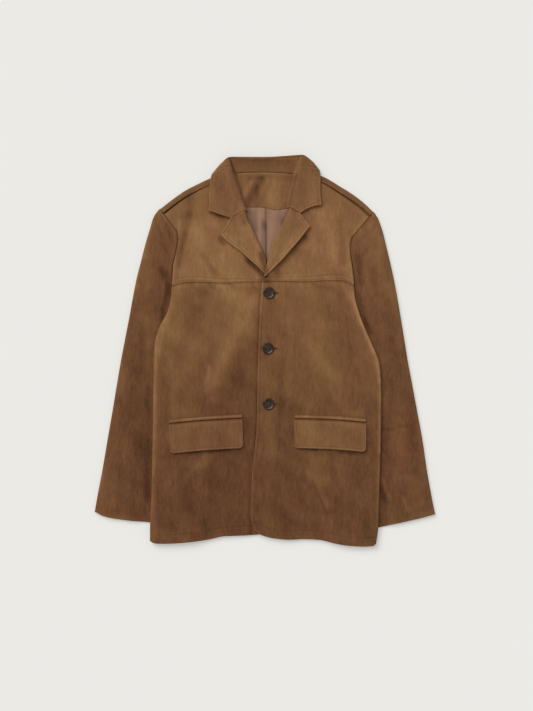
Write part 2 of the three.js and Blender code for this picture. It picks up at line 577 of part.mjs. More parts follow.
// The back: flat on the surface, turned up at both sides and folded forward over the shoulders.
function backPanel() {
  const radius = SIDE_RADIUS + SEAM_GAP / 2;
  const foldAngles = [-45, 0, 45, 90].map((degrees) => THREE.MathUtils.degToRad(degrees));
  const half = [0.24, 0.42, 0.49, 0.57, 0.66, 0.77, 0.88, 1];
  const topOf = (x) => sideOf(x).shoulder(Math.abs(x));
  const hemOf = (x) => mix(sides.right.hem(-x), sides.left.hem(x), smooth(-30, 30, x)) + 1.5;
  const edgesAt = (y) => ({ right: sides.right.edge(y), left: sides.left.edge(y) });
  // A row's share of the height at each side, so that it meets the armhole at the same heights as the sleeve.
  const rowAt = (height) => {
    const share = (x) => (height - hemOf(x)) / (topOf(x) - radius - hemOf(x));
    const edges = edgesAt(height);
    return { edges, height, right: share(-edges.right), left: share(edges.left) };
  };
  // Where the armhole meets a line that lies below the shoulder's fold by a depth.
  const armholeEnd = (side, depth) => {
    let y = ARMHOLE_BACK_TOP;
    for (let k = 0; k < 8; k++) {
      y = (y + topOf(side.sign * side.edge(y)) - depth) / 2;
    }
    return side.edge(y);
  };
  const endsAt = (depth) => ({
    right: armholeEnd(sides.right, depth),
    left: armholeEnd(sides.left, depth),
  });
  const end = { edges: endsAt(radius), height: ARMHOLE_BACK_TOP, right: 1, left: 1 };
  const places = (row) => {
    const round = edgeRound(row.height);
    const right = TURN.slice(1).reverse().map((angle) => ({ x: -row.edges.right, sign: -1, angle, round }));
    const left = TURN.slice(1).map((angle) => ({ x: row.edges.left, sign: 1, angle, round }));
    const inside = [
      ...[...half].reverse().map((part) => ({ x: -part * (row.edges.right - SIDE_RADIUS) })),
      { x: 0 },
      ...half.map((part) => ({ x: part * (row.edges.left - SIDE_RADIUS) })),
    ];
    return [...right, ...inside, ...left];
  };
  const bottom = { edges: edgesAt(BACK_HEM), height: BACK_HEM, right: 0, left: 0 };
  const middle = [...BACK_ROWS, ...ARMHOLE_ROWS].map(rowAt);
  const flat = [bottom, ...middle, end].map((row) =>
    places(row).map((place) => {
      const across = (place.x + row.edges.right) / (row.edges.right + row.edges.left);
      const share = mix(row.right, row.left, across);
      const y = mix(hemOf(place.x), topOf(place.x) - radius, share);
      const z = bodyRise(place.x, y);
      if (place.sign) {
        return turned({ x: place.x, y, z }, place.sign, SIDE_RADIUS, BACK_CLOTH, place.round, place.angle, -1);
      }
      return { outer: [place.x, y, z], inner: [place.x, y, z + BACK_CLOTH] };
    }),
  );
  // Past the last flat row the cloth turns over the shoulder, but stays flat across the neck.
  const plainX = (place) => {
    if (!place.sign) return place.x;
    return place.x - place.sign * SIDE_RADIUS * (1 - Math.cos(place.angle));
  };
  const shoulder = (share, angle, reach) => {
    const row = { ...end, edges: endsAt(radius - radius * Math.cos(angle) + reach) };
    return places(row).map((place) => {
      const x = plainX(place);
      const curl = smooth(86, 96, Math.abs(x));
      const centre = topOf(x) - radius;
      const open = mix(centre, topOf(x), share);
      const cell = (r, flatZ) => [
        x,
        mix(open, centre + r * Math.cos(angle) - reach, curl),
        mix(flatZ, radius + r * Math.sin(angle), curl),
      ];
      return { outer: cell(radius, 0), inner: cell(radius - BACK_CLOTH, BACK_CLOTH) };
    });
  };
  const fold = foldAngles.map((angle, k) => shoulder((k + 1) / 6, angle, 0));
  const reach = SHOULDER_WRAP - radius;
  const legs = [0.5, 1].map((part, k) => shoulder((k + 5) / 6, Math.PI / 2, part * reach));
  return wall([...flat, ...fold, ...legs]);
}

// Sleeves: a top sleeve over an under sleeve, meeting at the two folds.
function sleeveRows(name) {
  const { sign } = sides[name];
  const rows = sleeveStations[name].map((row, i) => ({ ...row, i }));
  const parts = ["innerX", "innerY", "outerX", "outerY", "tuck"];
  const curves = Object.fromEntries(parts.map((part) => [part, column(rows, "i", part)]));
  const last = rows.length - 1;
  return { sign, last, at: (i) => Object.fromEntries(parts.map((part) => [part, curves[part](i)])) };
}

const cuffDrop = (name) =>
  column([{ part: 0, drop: 0 }, ...cuffSag[name], { part: 1, drop: 0 }], "part", "drop");

function sleeve(name, layer) {
  const side = sides[name];
  const rows = sleeveRows(name);
  const upper = layer === "top";
  const way = upper ? 1 : -1;
  const drop = cuffDrop(name);
  const shares = upper ? [0, 0.14, 0.28, 0.42, 0.56, 0.7, 0.84, 1] : [0, 0.5, 1];
  const grid = steps(rows.last).map((t) => {
    const i = t * rows.last;
    const row = rows.at(i);
    const hidden = smooth(0, 1, row.tuck);
    const innerRadius = mix(SIDE_RADIUS, TUCK_RADIUS, hidden);
    const narrow = Math.min(1, (row.outerX - row.innerX) / (4 * SIDE_RADIUS));
    const outerRadius = SIDE_RADIUS * narrow;
    const cuff = smooth(rows.last - 1.5, rows.last, i);
    const place = (s) => ({
      x: rows.sign * mix(row.innerX + innerRadius * narrow, row.outerX - outerRadius, s),
      y: mix(row.innerY, row.outerY, s) - cuff * drop(s),
    });
    const height = (x, y) => {
      const beyond = Math.abs(x) - side.edge(y);
      const clear = smooth(12, 42, beyond);
      const level = mix(TUCK_HEIGHT, FRONT_TOP, Math.max(clear, 1 - hidden));
      return level + Math.max(relief(sleeveFolds, x, y), -3) * clear * Math.min(1, narrow);
    };
    const layerCell = (x, y) => {
      const z = upper ? height(x, y) : 0;
      return { outer: [x, y, z], inner: [x, y, z - way * SLEEVE_CLOTH] };
    };
    const cells = shares.map((s) => {
      const p = place(s);
      return layerCell(p.x, p.y);
    });
    const innerZ = upper ? mix(FRONT_TOP, TUCK_HEIGHT, hidden) : 0;
    const innerTurn = [...TURN.slice(1)].reverse().map((angle) =>
      turned(
        { x: rows.sign * row.innerX, y: row.innerY, z: innerZ },
        -rows.sign,
        innerRadius * narrow,
        SLEEVE_CLOTH,
        mix(0.12, 1, hidden),
        angle,
        way,
      ),
    );
    const outerZ = upper ? FRONT_TOP : 0;
    const outerTurn = TURN.slice(1).map((angle) =>
      turned(
        { x: rows.sign * row.outerX, y: row.outerY, z: outerZ },
        rows.sign,
        outerRadius,
        SLEEVE_CLOTH,
        narrow < 1 ? 0.12 : 1,
        angle,
        way,
      ),
    );
    return [...innerTurn, ...cells, ...outerTurn];
  });
  return wall(grid);
}

// A lapel: from the yoke's inner edge round the roll, then back over the yoke to its free edge.
function lapel(name) {
  const side = sides[name];
  const rows = lapels[name];
  const rollAngles = [-90, -45, 0, 45, 90].map((degrees) => THREE.MathUtils.degToRad(degrees));
  const shares = [0.12, 0.28, 0.46, 0.64, 0.82, 1];
  const grid = rows.map((row) => {
    const base = frontTop(side, side.sign * (row.rollX + 6), row.rollY);
    const crest = base + row.height;
    const radius = (crest - base + SUEDE) / 2;
    const centre = crest - radius;
    const lengthX = row.edgeX - row.rollX;
    const lengthY = row.edgeY - row.rollY;
    const length = Math.hypot(lengthX, lengthY);
    const along = (d) => [row.rollX + (lengthX * d) / length, row.rollY + (lengthY * d) / length];
    const roll = rollAngles.map((angle) => {
      const [outX, outY] = along(radius * (1 - Math.cos(angle)));
      const thin = Math.min(SUEDE, radius - 0.4);
      const [inX, inY] = along(radius - (radius - thin) * Math.cos(angle));
      return {
        outer: [side.sign * outX, outY, centre + radius * Math.sin(angle)],
        inner: [side.sign * inX, inY, centre + (radius - thin) * Math.sin(angle)],
      };
    });
    const lying = shares.map((s) => {
      const d = mix(radius, length, s);
      const [x, y] = along(d);
      const over = frontTop(side, side.sign * x, y) + SEAM_GAP;
      const settle = smooth(0, 0.75, s);
      const z = mix(crest - LAPEL_CLOTH, over, settle) + LAPEL_CLOTH;
      const floor = Math.max(z, over + LAPEL_CLOTH);
      return {
        outer: [side.sign * x, y, floor],
        inner: [side.sign * x, y, floor - LAPEL_CLOTH],
      };
    });
    return [...roll, ...lying];
  });
  return wall(grid);
}

// The collar runs as one strip from the right leaf round the back neck to the left leaf.
function collarStrip(stations) {
  const placed = (row, sign) => Object.fromEntries(
    Object.entries(row).map(([part, [x, y, z]]) => [part, new THREE.Vector3(sign * x, y, z)]),
  );
  const right = stations.right.map((row) => placed(row, -1));
  const left = stations.left.map((row) => placed(row, 1)).reverse();
  return [...right, ...left];
}

function collarFall() {
  const rows = collarStrip(fallStations);
  const shares = [0, 0.13, 0.26, 0.4, 0.55, 0.7, 0.85, 1];
  const grid = rows.map((row) => {
    const section = new THREE.CatmullRomCurve3([row.in, row.top, row.mid, row.out], false, "centripetal");
    return shares.map((share) => section.getPoint(share));
  });
  return wall(thickened(grid, FALL_CLOTH, 1));
}

function collarStand() {
  const rows = collarStrip(standStations);
  const grid = rows.map((row) =>
    steps(4).map((share) => {
      const p = new THREE.Vector3().lerpVectors(row.seam, row.top, share);
      p.z -= STAND_SAG * Math.sin(Math.PI * share);
      return p;
    }),
  );
  return wall(thickened(grid, STAND_CLOTH, -1));
}

// Inside the neck: the facing on the back, and the lining below it with its centre pleat.
const facingEdge = column(
  [
    { x: -72, y: 290 },
    { x: -40, y: 286.5 },
    { x: -15, y: 286.5 },
    { x: 7, y: 284.5 },
    { x: 21, y: 280.5 },
    { x: 47, y: 284.5 },
    { x: 72, y: 288 },
  ],
  "x",
  "y",
);

const LINING_PLACES = [-54, -38, -24, -14, -8, -3, 0, 1.6, 2.6, 6, 14, 26, 40, 54];

function neckFacing() {
  const rest = BACK_CLOTH + SEAM_GAP + FACING_CLOTH;
  const grid = steps(6).map((t) =>
    [-70, ...LINING_PLACES, 70].map((x) => {
      const topY = mix(353.5, 347, smooth(0, 70, Math.abs(x)));
      const y = mix(facingEdge(x), topY, t);
      const z = rest + Math.max(0, relief(facingFolds, x, y));
      return { outer: [x, y, z], inner: [x, y, z - FACING_CLOTH] };
    }),
  );
  return wall(grid);
}

function backLining() {
  const rest = BACK_CLOTH + SEAM_GAP + LINING_CLOTH;
  const grid = steps(5).map((t) =>
    LINING_PLACES.map((x) => {
      const y = mix(facingEdge(x) - SEAM_GAP, LINING_END, t);
      const pleat = 1.4 * smooth(-16, 1.4, x) * smoothDown(1.6, 2.8, x);
      return { outer: [x, y, rest + pleat], inner: [x, y, rest + pleat - LINING_CLOTH] };
    }),
  );
  return wall(grid);
}

// A pocket: the flap and the welt above it both follow the front.
function pocketLine(name) {
  const pocket = pockets[name];
  return (s) => ({
    out: mix(pocket.inner, pocket.outer, s),
    y: mix(pocket.innerY, pocket.outerY, s) + pocket.middleY * Math.sin(Math.PI * s),
  });
}

function pocketFlap(name) {
  const side = sides[name];
  const pocket = pockets[name];
  const line = pocketLine(name);
  const width = pocket.outer - pocket.inner;
  const r = FLAP.corner / width;
  const corner = [0, 0.25 * r, 0.6 * r, 1.1 * r];
  const shares = [...corner, 0.25, 0.42, 0.58, 0.75, ...corner.map((s) => 1 - s).reverse()];
  const grid = steps(5).map((t) =>
    shares.map((s) => {
      const fromEnd = Math.min(s, 1 - s) * width;
      const short = Math.max(0, FLAP.corner - fromEnd);
      const cut = FLAP.corner - Math.sqrt(FLAP.corner ** 2 - short ** 2);
      const start = line(s);
      const depth = t * (pocket.depth - cut);
      const out = start.out + (pocket.tilt * depth) / pocket.depth;
      const y = start.y - SEAM_GAP - depth;
      const z = frontTop(side, side.sign * out, y) + CURVED_SEAM_GAP + FLAP.lift * t * t + FLAP.cloth;
      return { outer: [side.sign * out, y, z], inner: [side.sign * out, y, z - FLAP.cloth] };
    }),
  );
  return wall(grid);
}

function pocketWelt(name) {
  const side = sides[name];
  const pocket = pockets[name];
  const line = pocketLine(name);
  const profile = [
    { part: 0, up: 0.45 },
    { part: 0.2, up: 0.9 },
    { part: 0.5, up: 1 },
    { part: 0.8, up: 0.85 },
    { part: 1, up: 0.4 },
  ];
  const grid = profile.map((step) =>
    steps(9).map((s) => {
      const start = line(s);
      const y = start.y + SEAM_GAP + WELT.gap + step.part * WELT.width;
      const x = side.sign * start.out;
      const base = frontTop(side, x, y) + CURVED_SEAM_GAP;
      return { outer: [x, y, base + step.up * WELT.height], inner: [x, y, base] };
    }),
  );
  return wall(grid);
}

// A four-hole button with a raised rim.
const wasm = await Module();
wasm.setup();

function solidOf(geometry) {
  const bare = geometry.clone();
  bare.deleteAttribute("normal");
  bare.deleteAttribute("uv");
  const merged = mergeVertices(bare, 1e-4);
  return new wasm.Manifold(
    new wasm.Mesh({
      numProp: 3,
      vertProperties: merged.attributes.position.array,
      triVerts: new Uint32Array(merged.index.array),
    }),
  );
}

function geometryOf(solid) {
  const mesh = solid.getMesh();
  const geometry = new THREE.BufferGeometry();
  geometry.setAttribute("position", new THREE.Float32BufferAttribute(mesh.vertProperties, 3));
  geometry.setIndex([...mesh.triVerts]);
  geometry.computeVertexNormals();
  return geometry;
}

function buttonGeometry() {
  const r = BUTTON.diameter / 2;
  const h = BUTTON.height;
  const profile = [
    { r: 0, z: 0 },
    { r: r - 2.2, z: 0 },
    { r: r, z: h * 0.55 },
    { r: r - 0.5, z: h * 0.9 },
    { r: r - 1.5, z: h },
    { r: r - 3.2, z: h * 0.72 },
    { r: 0, z: h * 0.64 },
  ];
  const disc = new THREE.LatheGeometry(
    profile.map((p) => new THREE.Vector2(p.r, p.z)),
    BUTTON.segments,
  );
  disc.rotateX(Math.PI / 2);
  let solid = solidOf(disc);
  for (const [dx, dy] of [[1, 1], [-1, 1], [-1, -1], [1, -1]]) {
    const hole = new THREE.CylinderGeometry(BUTTON.hole / 2, BUTTON.hole / 2, 3 * h, 8);
    hole.rotateX(Math.PI / 2);
    hole.translate((dx * BUTTON.spread) / Math.SQRT2, (dy * BUTTON.spread) / Math.SQRT2, 0);
    solid = solid.subtract(solidOf(hole));
  }
  return geometryOf(solid);
}

// The jacket
const suede = new THREE.MeshStandardMaterial({ color: COLOURS.suede, roughness: 0.95, metalness: 0 });
const satin = new THREE.MeshStandardMaterial({ color: COLOURS.lining, roughness: 0.5, metalness: 0 });
const horn = new THREE.MeshStandardMaterial({ color: COLOURS.horn, roughness: 0.3, metalness: 0 });

const jacket = new THREE.Group();

function add(name, geometry, material) {
  const mesh = new THREE.Mesh(geometry, material);
  mesh.name = name;
  jacket.add(mesh);
  return mesh;
}

add("back_panel", backPanel(), suede);
add("back_neck_facing", neckFacing(), suede);
add("back_lining", backLining(), satin);
for (const name of ["right", "left"]) {
  add(name + "_front_panel", frontPanel(name), suede);
  add(name + "_front_yoke", yoke(name), suede);
  add(name + "_lapel", lapel(name), suede);
  add(name + "_top_sleeve", sleeve(name, "top"), suede);
  add(name + "_under_sleeve", sleeve(name, "under"), suede);
  add(name + "_pocket_flap", pocketFlap(name), suede);
  add(name + "_pocket_welt", pocketWelt(name), suede);
}
add("collar_fall", collarFall(), suede);
add("collar_stand", collarStand(), suede);
for (const place of BUTTON_PLACES) {
  const button = add(place.name + "_button", buttonGeometry(), horn);
  const reach = [-BUTTON.diameter / 2, 0, BUTTON.diameter / 2];
  const heightAt = (dx, dy) => frontTop(sides.left, place.x + dx, place.y + dy);
  const under = reach.flatMap((dx) => reach.map((dy) => heightAt(dx, dy)));
  button.position.set(place.x, place.y, Math.max(...under) + SEAM_GAP);
}

// The origin is under the middle of the jacket, on the surface.
const box = new THREE.Box3().setFromObject(jacket);
const centre = box.getCenter(new THREE.Vector3());
jacket.position.set(-centre.x, -centre.y, -box.min.z);

export default jacket;
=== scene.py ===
"""A suede jacket laid flat on its back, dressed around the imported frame.

Shapes are worked out in millimetres, X across the jacket to the wearer's left, Y from the hem to the collar,
Z up from the floor, and become metres where a mesh is made.
"""
import math
from types import SimpleNamespace

import bpy
import numpy as np
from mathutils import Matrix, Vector
from mathutils.bvhtree import BVHTree


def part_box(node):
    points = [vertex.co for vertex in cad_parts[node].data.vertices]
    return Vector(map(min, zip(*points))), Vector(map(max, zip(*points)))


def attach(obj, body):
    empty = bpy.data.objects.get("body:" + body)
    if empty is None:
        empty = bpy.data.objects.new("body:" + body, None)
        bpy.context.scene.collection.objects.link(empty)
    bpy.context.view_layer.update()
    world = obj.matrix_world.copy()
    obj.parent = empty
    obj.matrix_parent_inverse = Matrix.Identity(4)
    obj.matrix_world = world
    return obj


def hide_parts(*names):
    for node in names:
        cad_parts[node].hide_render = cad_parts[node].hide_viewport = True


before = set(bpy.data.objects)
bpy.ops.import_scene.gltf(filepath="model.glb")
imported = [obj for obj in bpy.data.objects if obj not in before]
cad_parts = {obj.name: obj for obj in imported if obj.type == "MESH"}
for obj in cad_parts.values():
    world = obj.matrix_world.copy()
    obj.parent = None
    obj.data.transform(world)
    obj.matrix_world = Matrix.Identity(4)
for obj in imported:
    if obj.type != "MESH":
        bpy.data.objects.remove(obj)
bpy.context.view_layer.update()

# Driving dimensions
SUEDE = 2.2
BACK_CLOTH = 2.0
SEAM_GAP = 0.3
FLAP_GAP = 0.6
SEWN = 0.06  # sewn edges meet here, where the solids keep a clear gap
SIDE_RADIUS = 3.8
FRONT_TOP = 2 * SIDE_RADIUS + SEAM_GAP
SLEEVE_CLOTH = 2.0
TUCK_RADIUS = 2.15
TUCK_HEIGHT = 2 * TUCK_RADIUS + SEAM_GAP
BODY_RISE = TUCK_HEIGHT + SEAM_GAP
OVERLAP_EDGE = 27
SHOULDER_WRAP = 13
LAPEL_CLOTH = 2.8
FALL_CLOTH = 2.6
STAND_CLOTH = 2.0
FACING_CLOTH = 1.5
LINING_CLOTH = 1.1
FLAP_CLOTH = 2.6
FLAP_CORNER = 8.5
FLAP_LIFT = 2.4
WELT_WIDTH = 7.6
WELT_HEIGHT = 2.6
YOKE_BOTTOM = 138
YOKE_STITCHES = (4, 12)
EDGE_STITCH = 6
HEM_STITCH = 18
FLAP_STITCH = 5
PLACKET_LIFT = 0.9
PLACKET_PRESS = 1.2
ALLOWANCE = SimpleNamespace(width=8, top=4.6, cloth=0.8, start=176)
ALLOWANCE_TIP = {"right": (206.5, 278.2), "left": (216.5, 273.4)}
LEVEL_EDGE = 0.12  # how much an edge still turns where two pieces meet level
OVERLAP_FADE = (3, 50)  # how far past the lower front's edge the upper one sinks to its level
LAPEL_ZONE = SimpleNamespace(bottom=130, top=235, inner=-10, outer=95, fade=(20, 46))
TUCK_SLOPE = (-96, -34)  # where the body starts and ends its rise, from a tucked sleeve's fold
TUCK_TOP = (148, 205)
BACK = SimpleNamespace(bottom=-384.0, first=-376.0, last=270.0, step=7.0, end=276.0, below_hem=1.5, cells=34)
SHOULDER_CURL = (86, 96)
PLEAT = SimpleNamespace(height=2.1, start=-16, crest=1.2, fold=1.4, end=3.0)
FOLD_LIMITS = (-2.9, 3.2)
SLEEVE_DEEPEST = -3
STITCH = SimpleNamespace(pitch=3.3, length=2.5, width=0.62, height=0.5)
SEAM = SimpleNamespace(depth=0.6, width=1.4, pucker=6, step=1.2, reach=14)
BUTTON = SimpleNamespace(diameter=23, height=3.6, hole=2.2, spread=2.7, sides=64)
BUTTONHOLE = SimpleNamespace(start=1.5, end=17.5, half=1.5, step=0.75, slit_step=1.0)
BUTTON_PLACES = {"top": (9, 114.5), "middle": (7, 3.5), "bottom": (8, -107.5)}


def table(names, *rows):
    """Rows of numbers with a name for each column."""
    return {name: np.array(values, float) for name, values in zip(names.split(), zip(*rows))}


def both_sides(names, right, left):
    return {"right": table(names, *right), "left": table(names, *left)}


BODY_SIDE = table(
    "y right left",
    (290, 215, 229), (282, 209, 223), (274, 203, 216), (250, 185, 196), (236, 175, 184), (224, 173.5, 175),
    (200, 177, 171.5), (170, 183, 175.5), (140, 185, 179), (110, 187, 181), (80, 193, 188), (44, 211, 201),
    (10, 220, 216), (-30, 222, 231), (-100, 223, 234), (-180, 224, 233), (-300, 227, 229.5),
    (-345, 229, 228.5), (-387, 229.4, 223.5),
)
YOKE_SEAM = table(
    "x right left",
    (-30, 137.5, 137.5), (30, 136.5, 137), (80, 133.8, 136.5), (130, 135.5, 138.5), (155, 135, 138),
    (182, 128.5, 128),
)
HEM = table(
    "x right left",
    (-30, -366.5, -319), (-27.5, -366.5, -333), (-25, -367, -347), (-20, -367, -360.5), (-8, -367, -369),
    (17, -369.5, -376), (50, -371.2, -379.2), (80, -372.3, -378.2), (110, -378.5, -379.6),
    (140, -382.8, -386.2), (170, -385.5, -391), (200, -386.8, -392.5), (216, -386.5, -391.5),
    (230, -382, -384),
)
PLACKET = table("y edge", (138, -5), (60, -10), (-20, -13), (-160, -16), (-240, -24), (-320, -28))
SHOULDER_FOLD = table(
    "x right left",
    (0, 356, 356), (60, 353, 352), (85, 349, 352.5), (97, 347.5, 352.5), (109, 344, 350.5), (121, 338.8, 346),
    (137, 331, 337), (153, 323, 327), (169, 313, 317.2), (185, 301.4, 306.2), (201, 289, 293.2),
    (219, 274, 275.5),
)
YOKE_INNER = both_sides(
    "x y",
    [
        (-27, 138), (-16, 141), (-8, 145), (-0.5, 151), (4, 162), (6, 176), (11, 197), (19.5, 217), (28, 235),
        (35, 251), (44, 266), (60, 279), (78, 293), (90, 312), (97, 331),
    ],
    [
        (-5, 138), (0, 143), (6, 149), (10, 164), (15, 184), (22, 208), (30, 228), (41, 248), (51, 266),
        (64, 280), (79, 294), (90, 312), (97, 335),
    ],
)
LAPELS = both_sides(
    "roll_x roll_y edge_x edge_y height",
    [
        (-4.4, 151, 1.8, 155.5, 4.0), (-4.2, 163, 12, 166.5, 4.2), (-3.4, 178, 27, 179, 4.6),
        (2.8, 196.5, 47, 197, 5.4), (11, 214.5, 65, 210, 6.2), (19, 231.5, 80, 222.5, 6.8),
        (26.6, 247.5, 88.5, 231.5, 7.2), (34.4, 264, 76, 250.5, 7.6), (38.5, 279.5, 66, 268, 7.8),
    ],
    [
        (-1, 147, 4, 149.5, 4.0), (2.4, 165, 19, 164.5, 4.4), (7, 182, 35, 180, 5.0),
        (14, 208, 55, 203.2, 5.8), (21, 226, 69.6, 219.8, 6.4), (29.6, 243, 81.4, 234.8, 7.0),
        (36.4, 254, 91.4, 247.6, 7.4), (43, 267, 82, 259.5, 7.6), (49, 284.5, 70.5, 274.5, 7.8),
    ],
)
LAPEL_TIP = 6
FALL = both_sides(
    "in_x in_y in_z top_x top_y top_z mid_x mid_y mid_z out_x out_y out_z",
    [
        (34, 279, 9, 38.5, 280, 15.2, 69, 264.5, 12.6, 111, 278.5, 11.2),
        (36, 288.6, 5.2, 44, 292, 15.8, 78, 285, 13.6, 111, 292, 11.2),
        (41.5, 306.6, 4.4, 52, 311, 16.6, 82, 306, 14.4, 111, 308, 11.4),
        (48, 326.6, 4.4, 59, 331, 17.2, 86, 327, 15, 110.5, 324, 11.6),
        (54.5, 345.6, 5.2, 65, 351, 17.8, 88, 344.5, 15.6, 109, 336.5, 12),
        (60, 362, 8.6, 69, 371, 18.2, 87.5, 361, 15.4, 107.5, 345.5, 12),
        (63.5, 373, 12, 71.5, 384, 18.4, 88.9, 369.8, 11, 106.5, 351, 7.5),
        (56, 374.6, 12.6, 61, 385.3, 18.2, 82, 377.5, 4.5, 97, 358.5, 1.2),
        (37.4, 374.2, 12.5, 38.5, 384.8, 18, 52, 382.5, 2.6, 66, 362.5, 0.1),
        (0, 374, 12.4, 0, 384.6, 18, 0, 384, 2.4, 0, 363, 0.1),
    ],
    [
        (45, 284, 9, 49.5, 285.5, 15.2, 71.5, 274, 12.8, 114.5, 290, 11.2),
        (44.5, 293.6, 5.2, 52, 297, 15.8, 80, 290.5, 13.6, 113.5, 302, 11.2),
        (46, 309.6, 4.4, 56, 313, 16.6, 84, 309, 14.4, 112.5, 315, 11.4),
        (51, 328.6, 4.4, 61.5, 332, 17.2, 88, 330, 15, 112.5, 330, 11.6),
        (56, 347.6, 5.2, 66.5, 352, 17.8, 90, 347, 15.6, 112.5, 343.5, 12),
        (60.5, 365, 8.6, 70, 373, 18.2, 90.5, 366, 15.4, 112, 353.5, 12),
        (64.5, 375.5, 12, 74.5, 389.5, 18.4, 94.5, 378.5, 11, 111, 360, 7.5),
        (57, 377, 12.6, 63, 388.8, 18.2, 84, 381, 4.5, 98, 361.5, 1.2),
        (37.4, 375.4, 12.5, 38.5, 386.6, 18, 52, 384, 2.6, 66, 363.5, 0.1),
    ],
)
STAND = both_sides(
    "seam_x seam_y seam_z top_x top_y top_z",
    [
        (72.5, 292, 7.9, 41.8, 291.4, 10.5), (86, 310, 7.9, 49.5, 310.2, 11.1), (92, 325, 8, 56.4, 330, 11.7),
        (87, 336, 8, 62.2, 349.6, 12.3), (78, 344, 6.8, 66, 368, 12.9), (70.5, 351.5, 5, 67, 379.6, 13.3),
        (58, 354.5, 4, 58.4, 380.8, 13.3), (36, 356.3, 3.7, 37.6, 380.2, 13.3), (0, 357, 3.6, 0, 380, 13.3),
    ],
    [
        (72.5, 292.5, 7.9, 49.8, 296.4, 10.5), (85.5, 310, 7.9, 53.6, 312.2, 11.1),
        (91.5, 327, 8, 59, 331, 11.7), (88, 338, 8, 63.8, 350.6, 12.3), (79, 345, 6.8, 67, 370, 12.9),
        (71.5, 350.5, 5, 67.5, 381, 13.3), (59, 353.2, 4, 58.6, 381.6, 13.3),
        (36, 355.5, 3.7, 37.6, 380.4, 13.3),
    ],
)
SLEEVES = both_sides(
    "inner_x inner_y outer_x outer_y tuck",
    [
        (None, 273, 209.8, 282.8, 0), (None, 260, 218, 274, 0), (None, 248, 224, 262, 0),
        (None, 236, 229, 245, 0), (None, 221, 234.5, 227, 0), (None, 200, 241, 204, 0),
        (None, 175, 247.5, 178, 0.1), (None, 146, 256, 145, 0.6), (184, 112, 263, 110, 1),
        (183, 72, 270, 71, 1), (172, 30, 278, 30, 1), (150, -20, 287.5, -20, 1), (140, -70, 296, -70, 1),
        (143, -125, 305, -124, 1), (154, -185, 315, -182, 1), (168, -240, 324.5, -238, 1),
        (182, -297, 333.8, -287, 1), (195, -348.5, 340.4, -324.5, 1),
    ],
    [
        (None, 267.6, 218.8, 276.8, 0), (None, 260, 228, 263, 0), (None, 248, 233, 249, 0),
        (None, 236, 237, 237, 0), (None, 221, 241, 221, 0), (None, 200, 246, 200, 0),
        (None, 175, 252, 175, 0.1), (None, 146, 258.6, 145, 0.6), (179.5, 112, 265.4, 110, 1),
        (178, 72, 272, 71, 1), (168, 30, 278.8, 30, 1), (150, -20, 286.8, -20, 1), (141, -70, 296.2, -70, 1),
        (144, -125, 306.2, -124, 1), (155, -190, 316.8, -182, 1), (168, -247, 325, -238, 1),
        (182, -306, 334.4, -291, 1), (196, -361, 342, -329, 1),
    ],
)
CUFF_SAG = {
    "right": table("part drop", (0, 0), (0.25, 2), (0.5, 5), (0.75, 6.5), (0.92, 4.5), (1, 0)),
    "left": table("part drop", (0, 0), (0.25, 1), (0.8, 1.5), (1, 0)),
}
POCKETS = {
    "right": SimpleNamespace(
        inner=44, outer=190, inner_y=-137, outer_y=-147.5, middle_y=1.5, depth=58.5, tilt=-1.5, welt_gap=1.2
    ),
    "left": SimpleNamespace(
        inner=60, outer=203, inner_y=-138, outer_y=-145.5, middle_y=2, depth=57.5, tilt=-0.5, welt_gap=1.2
    ),
}
ARMHOLE_TOP = {"right": 273, "left": 267.6}
FACING_EDGE = table(
    "x y", (-72, 290), (-40, 286.5), (-15, 286.5), (7, 284.5), (21, 280.5), (47, 284.5), (72, 288)
)

# Soft folds, each from x0, y0 to x1, y1, with its width and its height (a trough is under 0)
FRONT_FOLDS = [
    (-128, 196, -98, 150, 9, -1.6), (-158, 286, -164, 210, 10, -1.8), (-164, 210, -178, 156, 9, -1.6),
    (-182, 228, -172, 226, 11, -1.4), (206, 262, 176, 226, 10, -1.4), (140, 250, 160, 172, 12, -1.8),
    (-16, 84, -100, -96, 26, 1.5), (-70, 60, -112, -60, 22, -1.6), (-120, -36, -106, -86, 10, -2.2),
    (-130, 124, -104, 40, 18, -1.5), (-196, -20, -176, -110, 14, -1.2), (-150, -220, -160, -366, 14, -1.4),
    (-70, -214, -60, -340, 18, 1.2), (30, 40, 34, -200, 10, -1.6), (70, 50, 160, -100, 22, 1.6),
    (110, 60, 190, -60, 18, -1.4), (77, -212, 86, -262, 9, -2), (86, -262, 130, -342, 13, -1.4),
    (180, -214, 176, -372, 16, 1.2),
]
FRONT_CREASES = [
    (-124, 192, -98, 152, 5, -1.0), (-84, 190, -80, 156, 5, 0.8), (-154, 300, -150, 268, 8, -0.9),
    (-175, 214, -164, 160, 4, 0.6), (-168, 276, -160, 226, 5, 0.7), (-18, 96, -84, -40, 9, 0.7),
    (-108, -30, -118, -78, 4, 0.8), (-98, -40, -106, -72, 3, -0.6), (-205, 60, -214, -240, 6, 0.5),
    (-96, -214, -140, -252, 6, 0.6), (-126, -228, -160, -300, 6, -0.6), (34, 60, 40, -110, 6, -0.8),
    (84, 22, 156, -80, 9, 0.7), (104, 20, 180, -62, 8, -0.6), (82, -214, 92, -262, 5, -0.9),
    (92, -262, 132, -336, 5, -0.7), (112, -222, 136, -262, 8, 0.7), (148, -224, 156, -262, 6, 0.5),
    (120, 262, 150, 190, 8, 0.6), (156, 240, 168, 180, 6, -0.7), (190, 262, 206, 240, 6, -0.7),
    (186, 256, 172, 232, 4, 0.6), (-190, 256, -176, 236, 5, -0.7), (-40, 110, -96, 96, 12, 0.6),
]
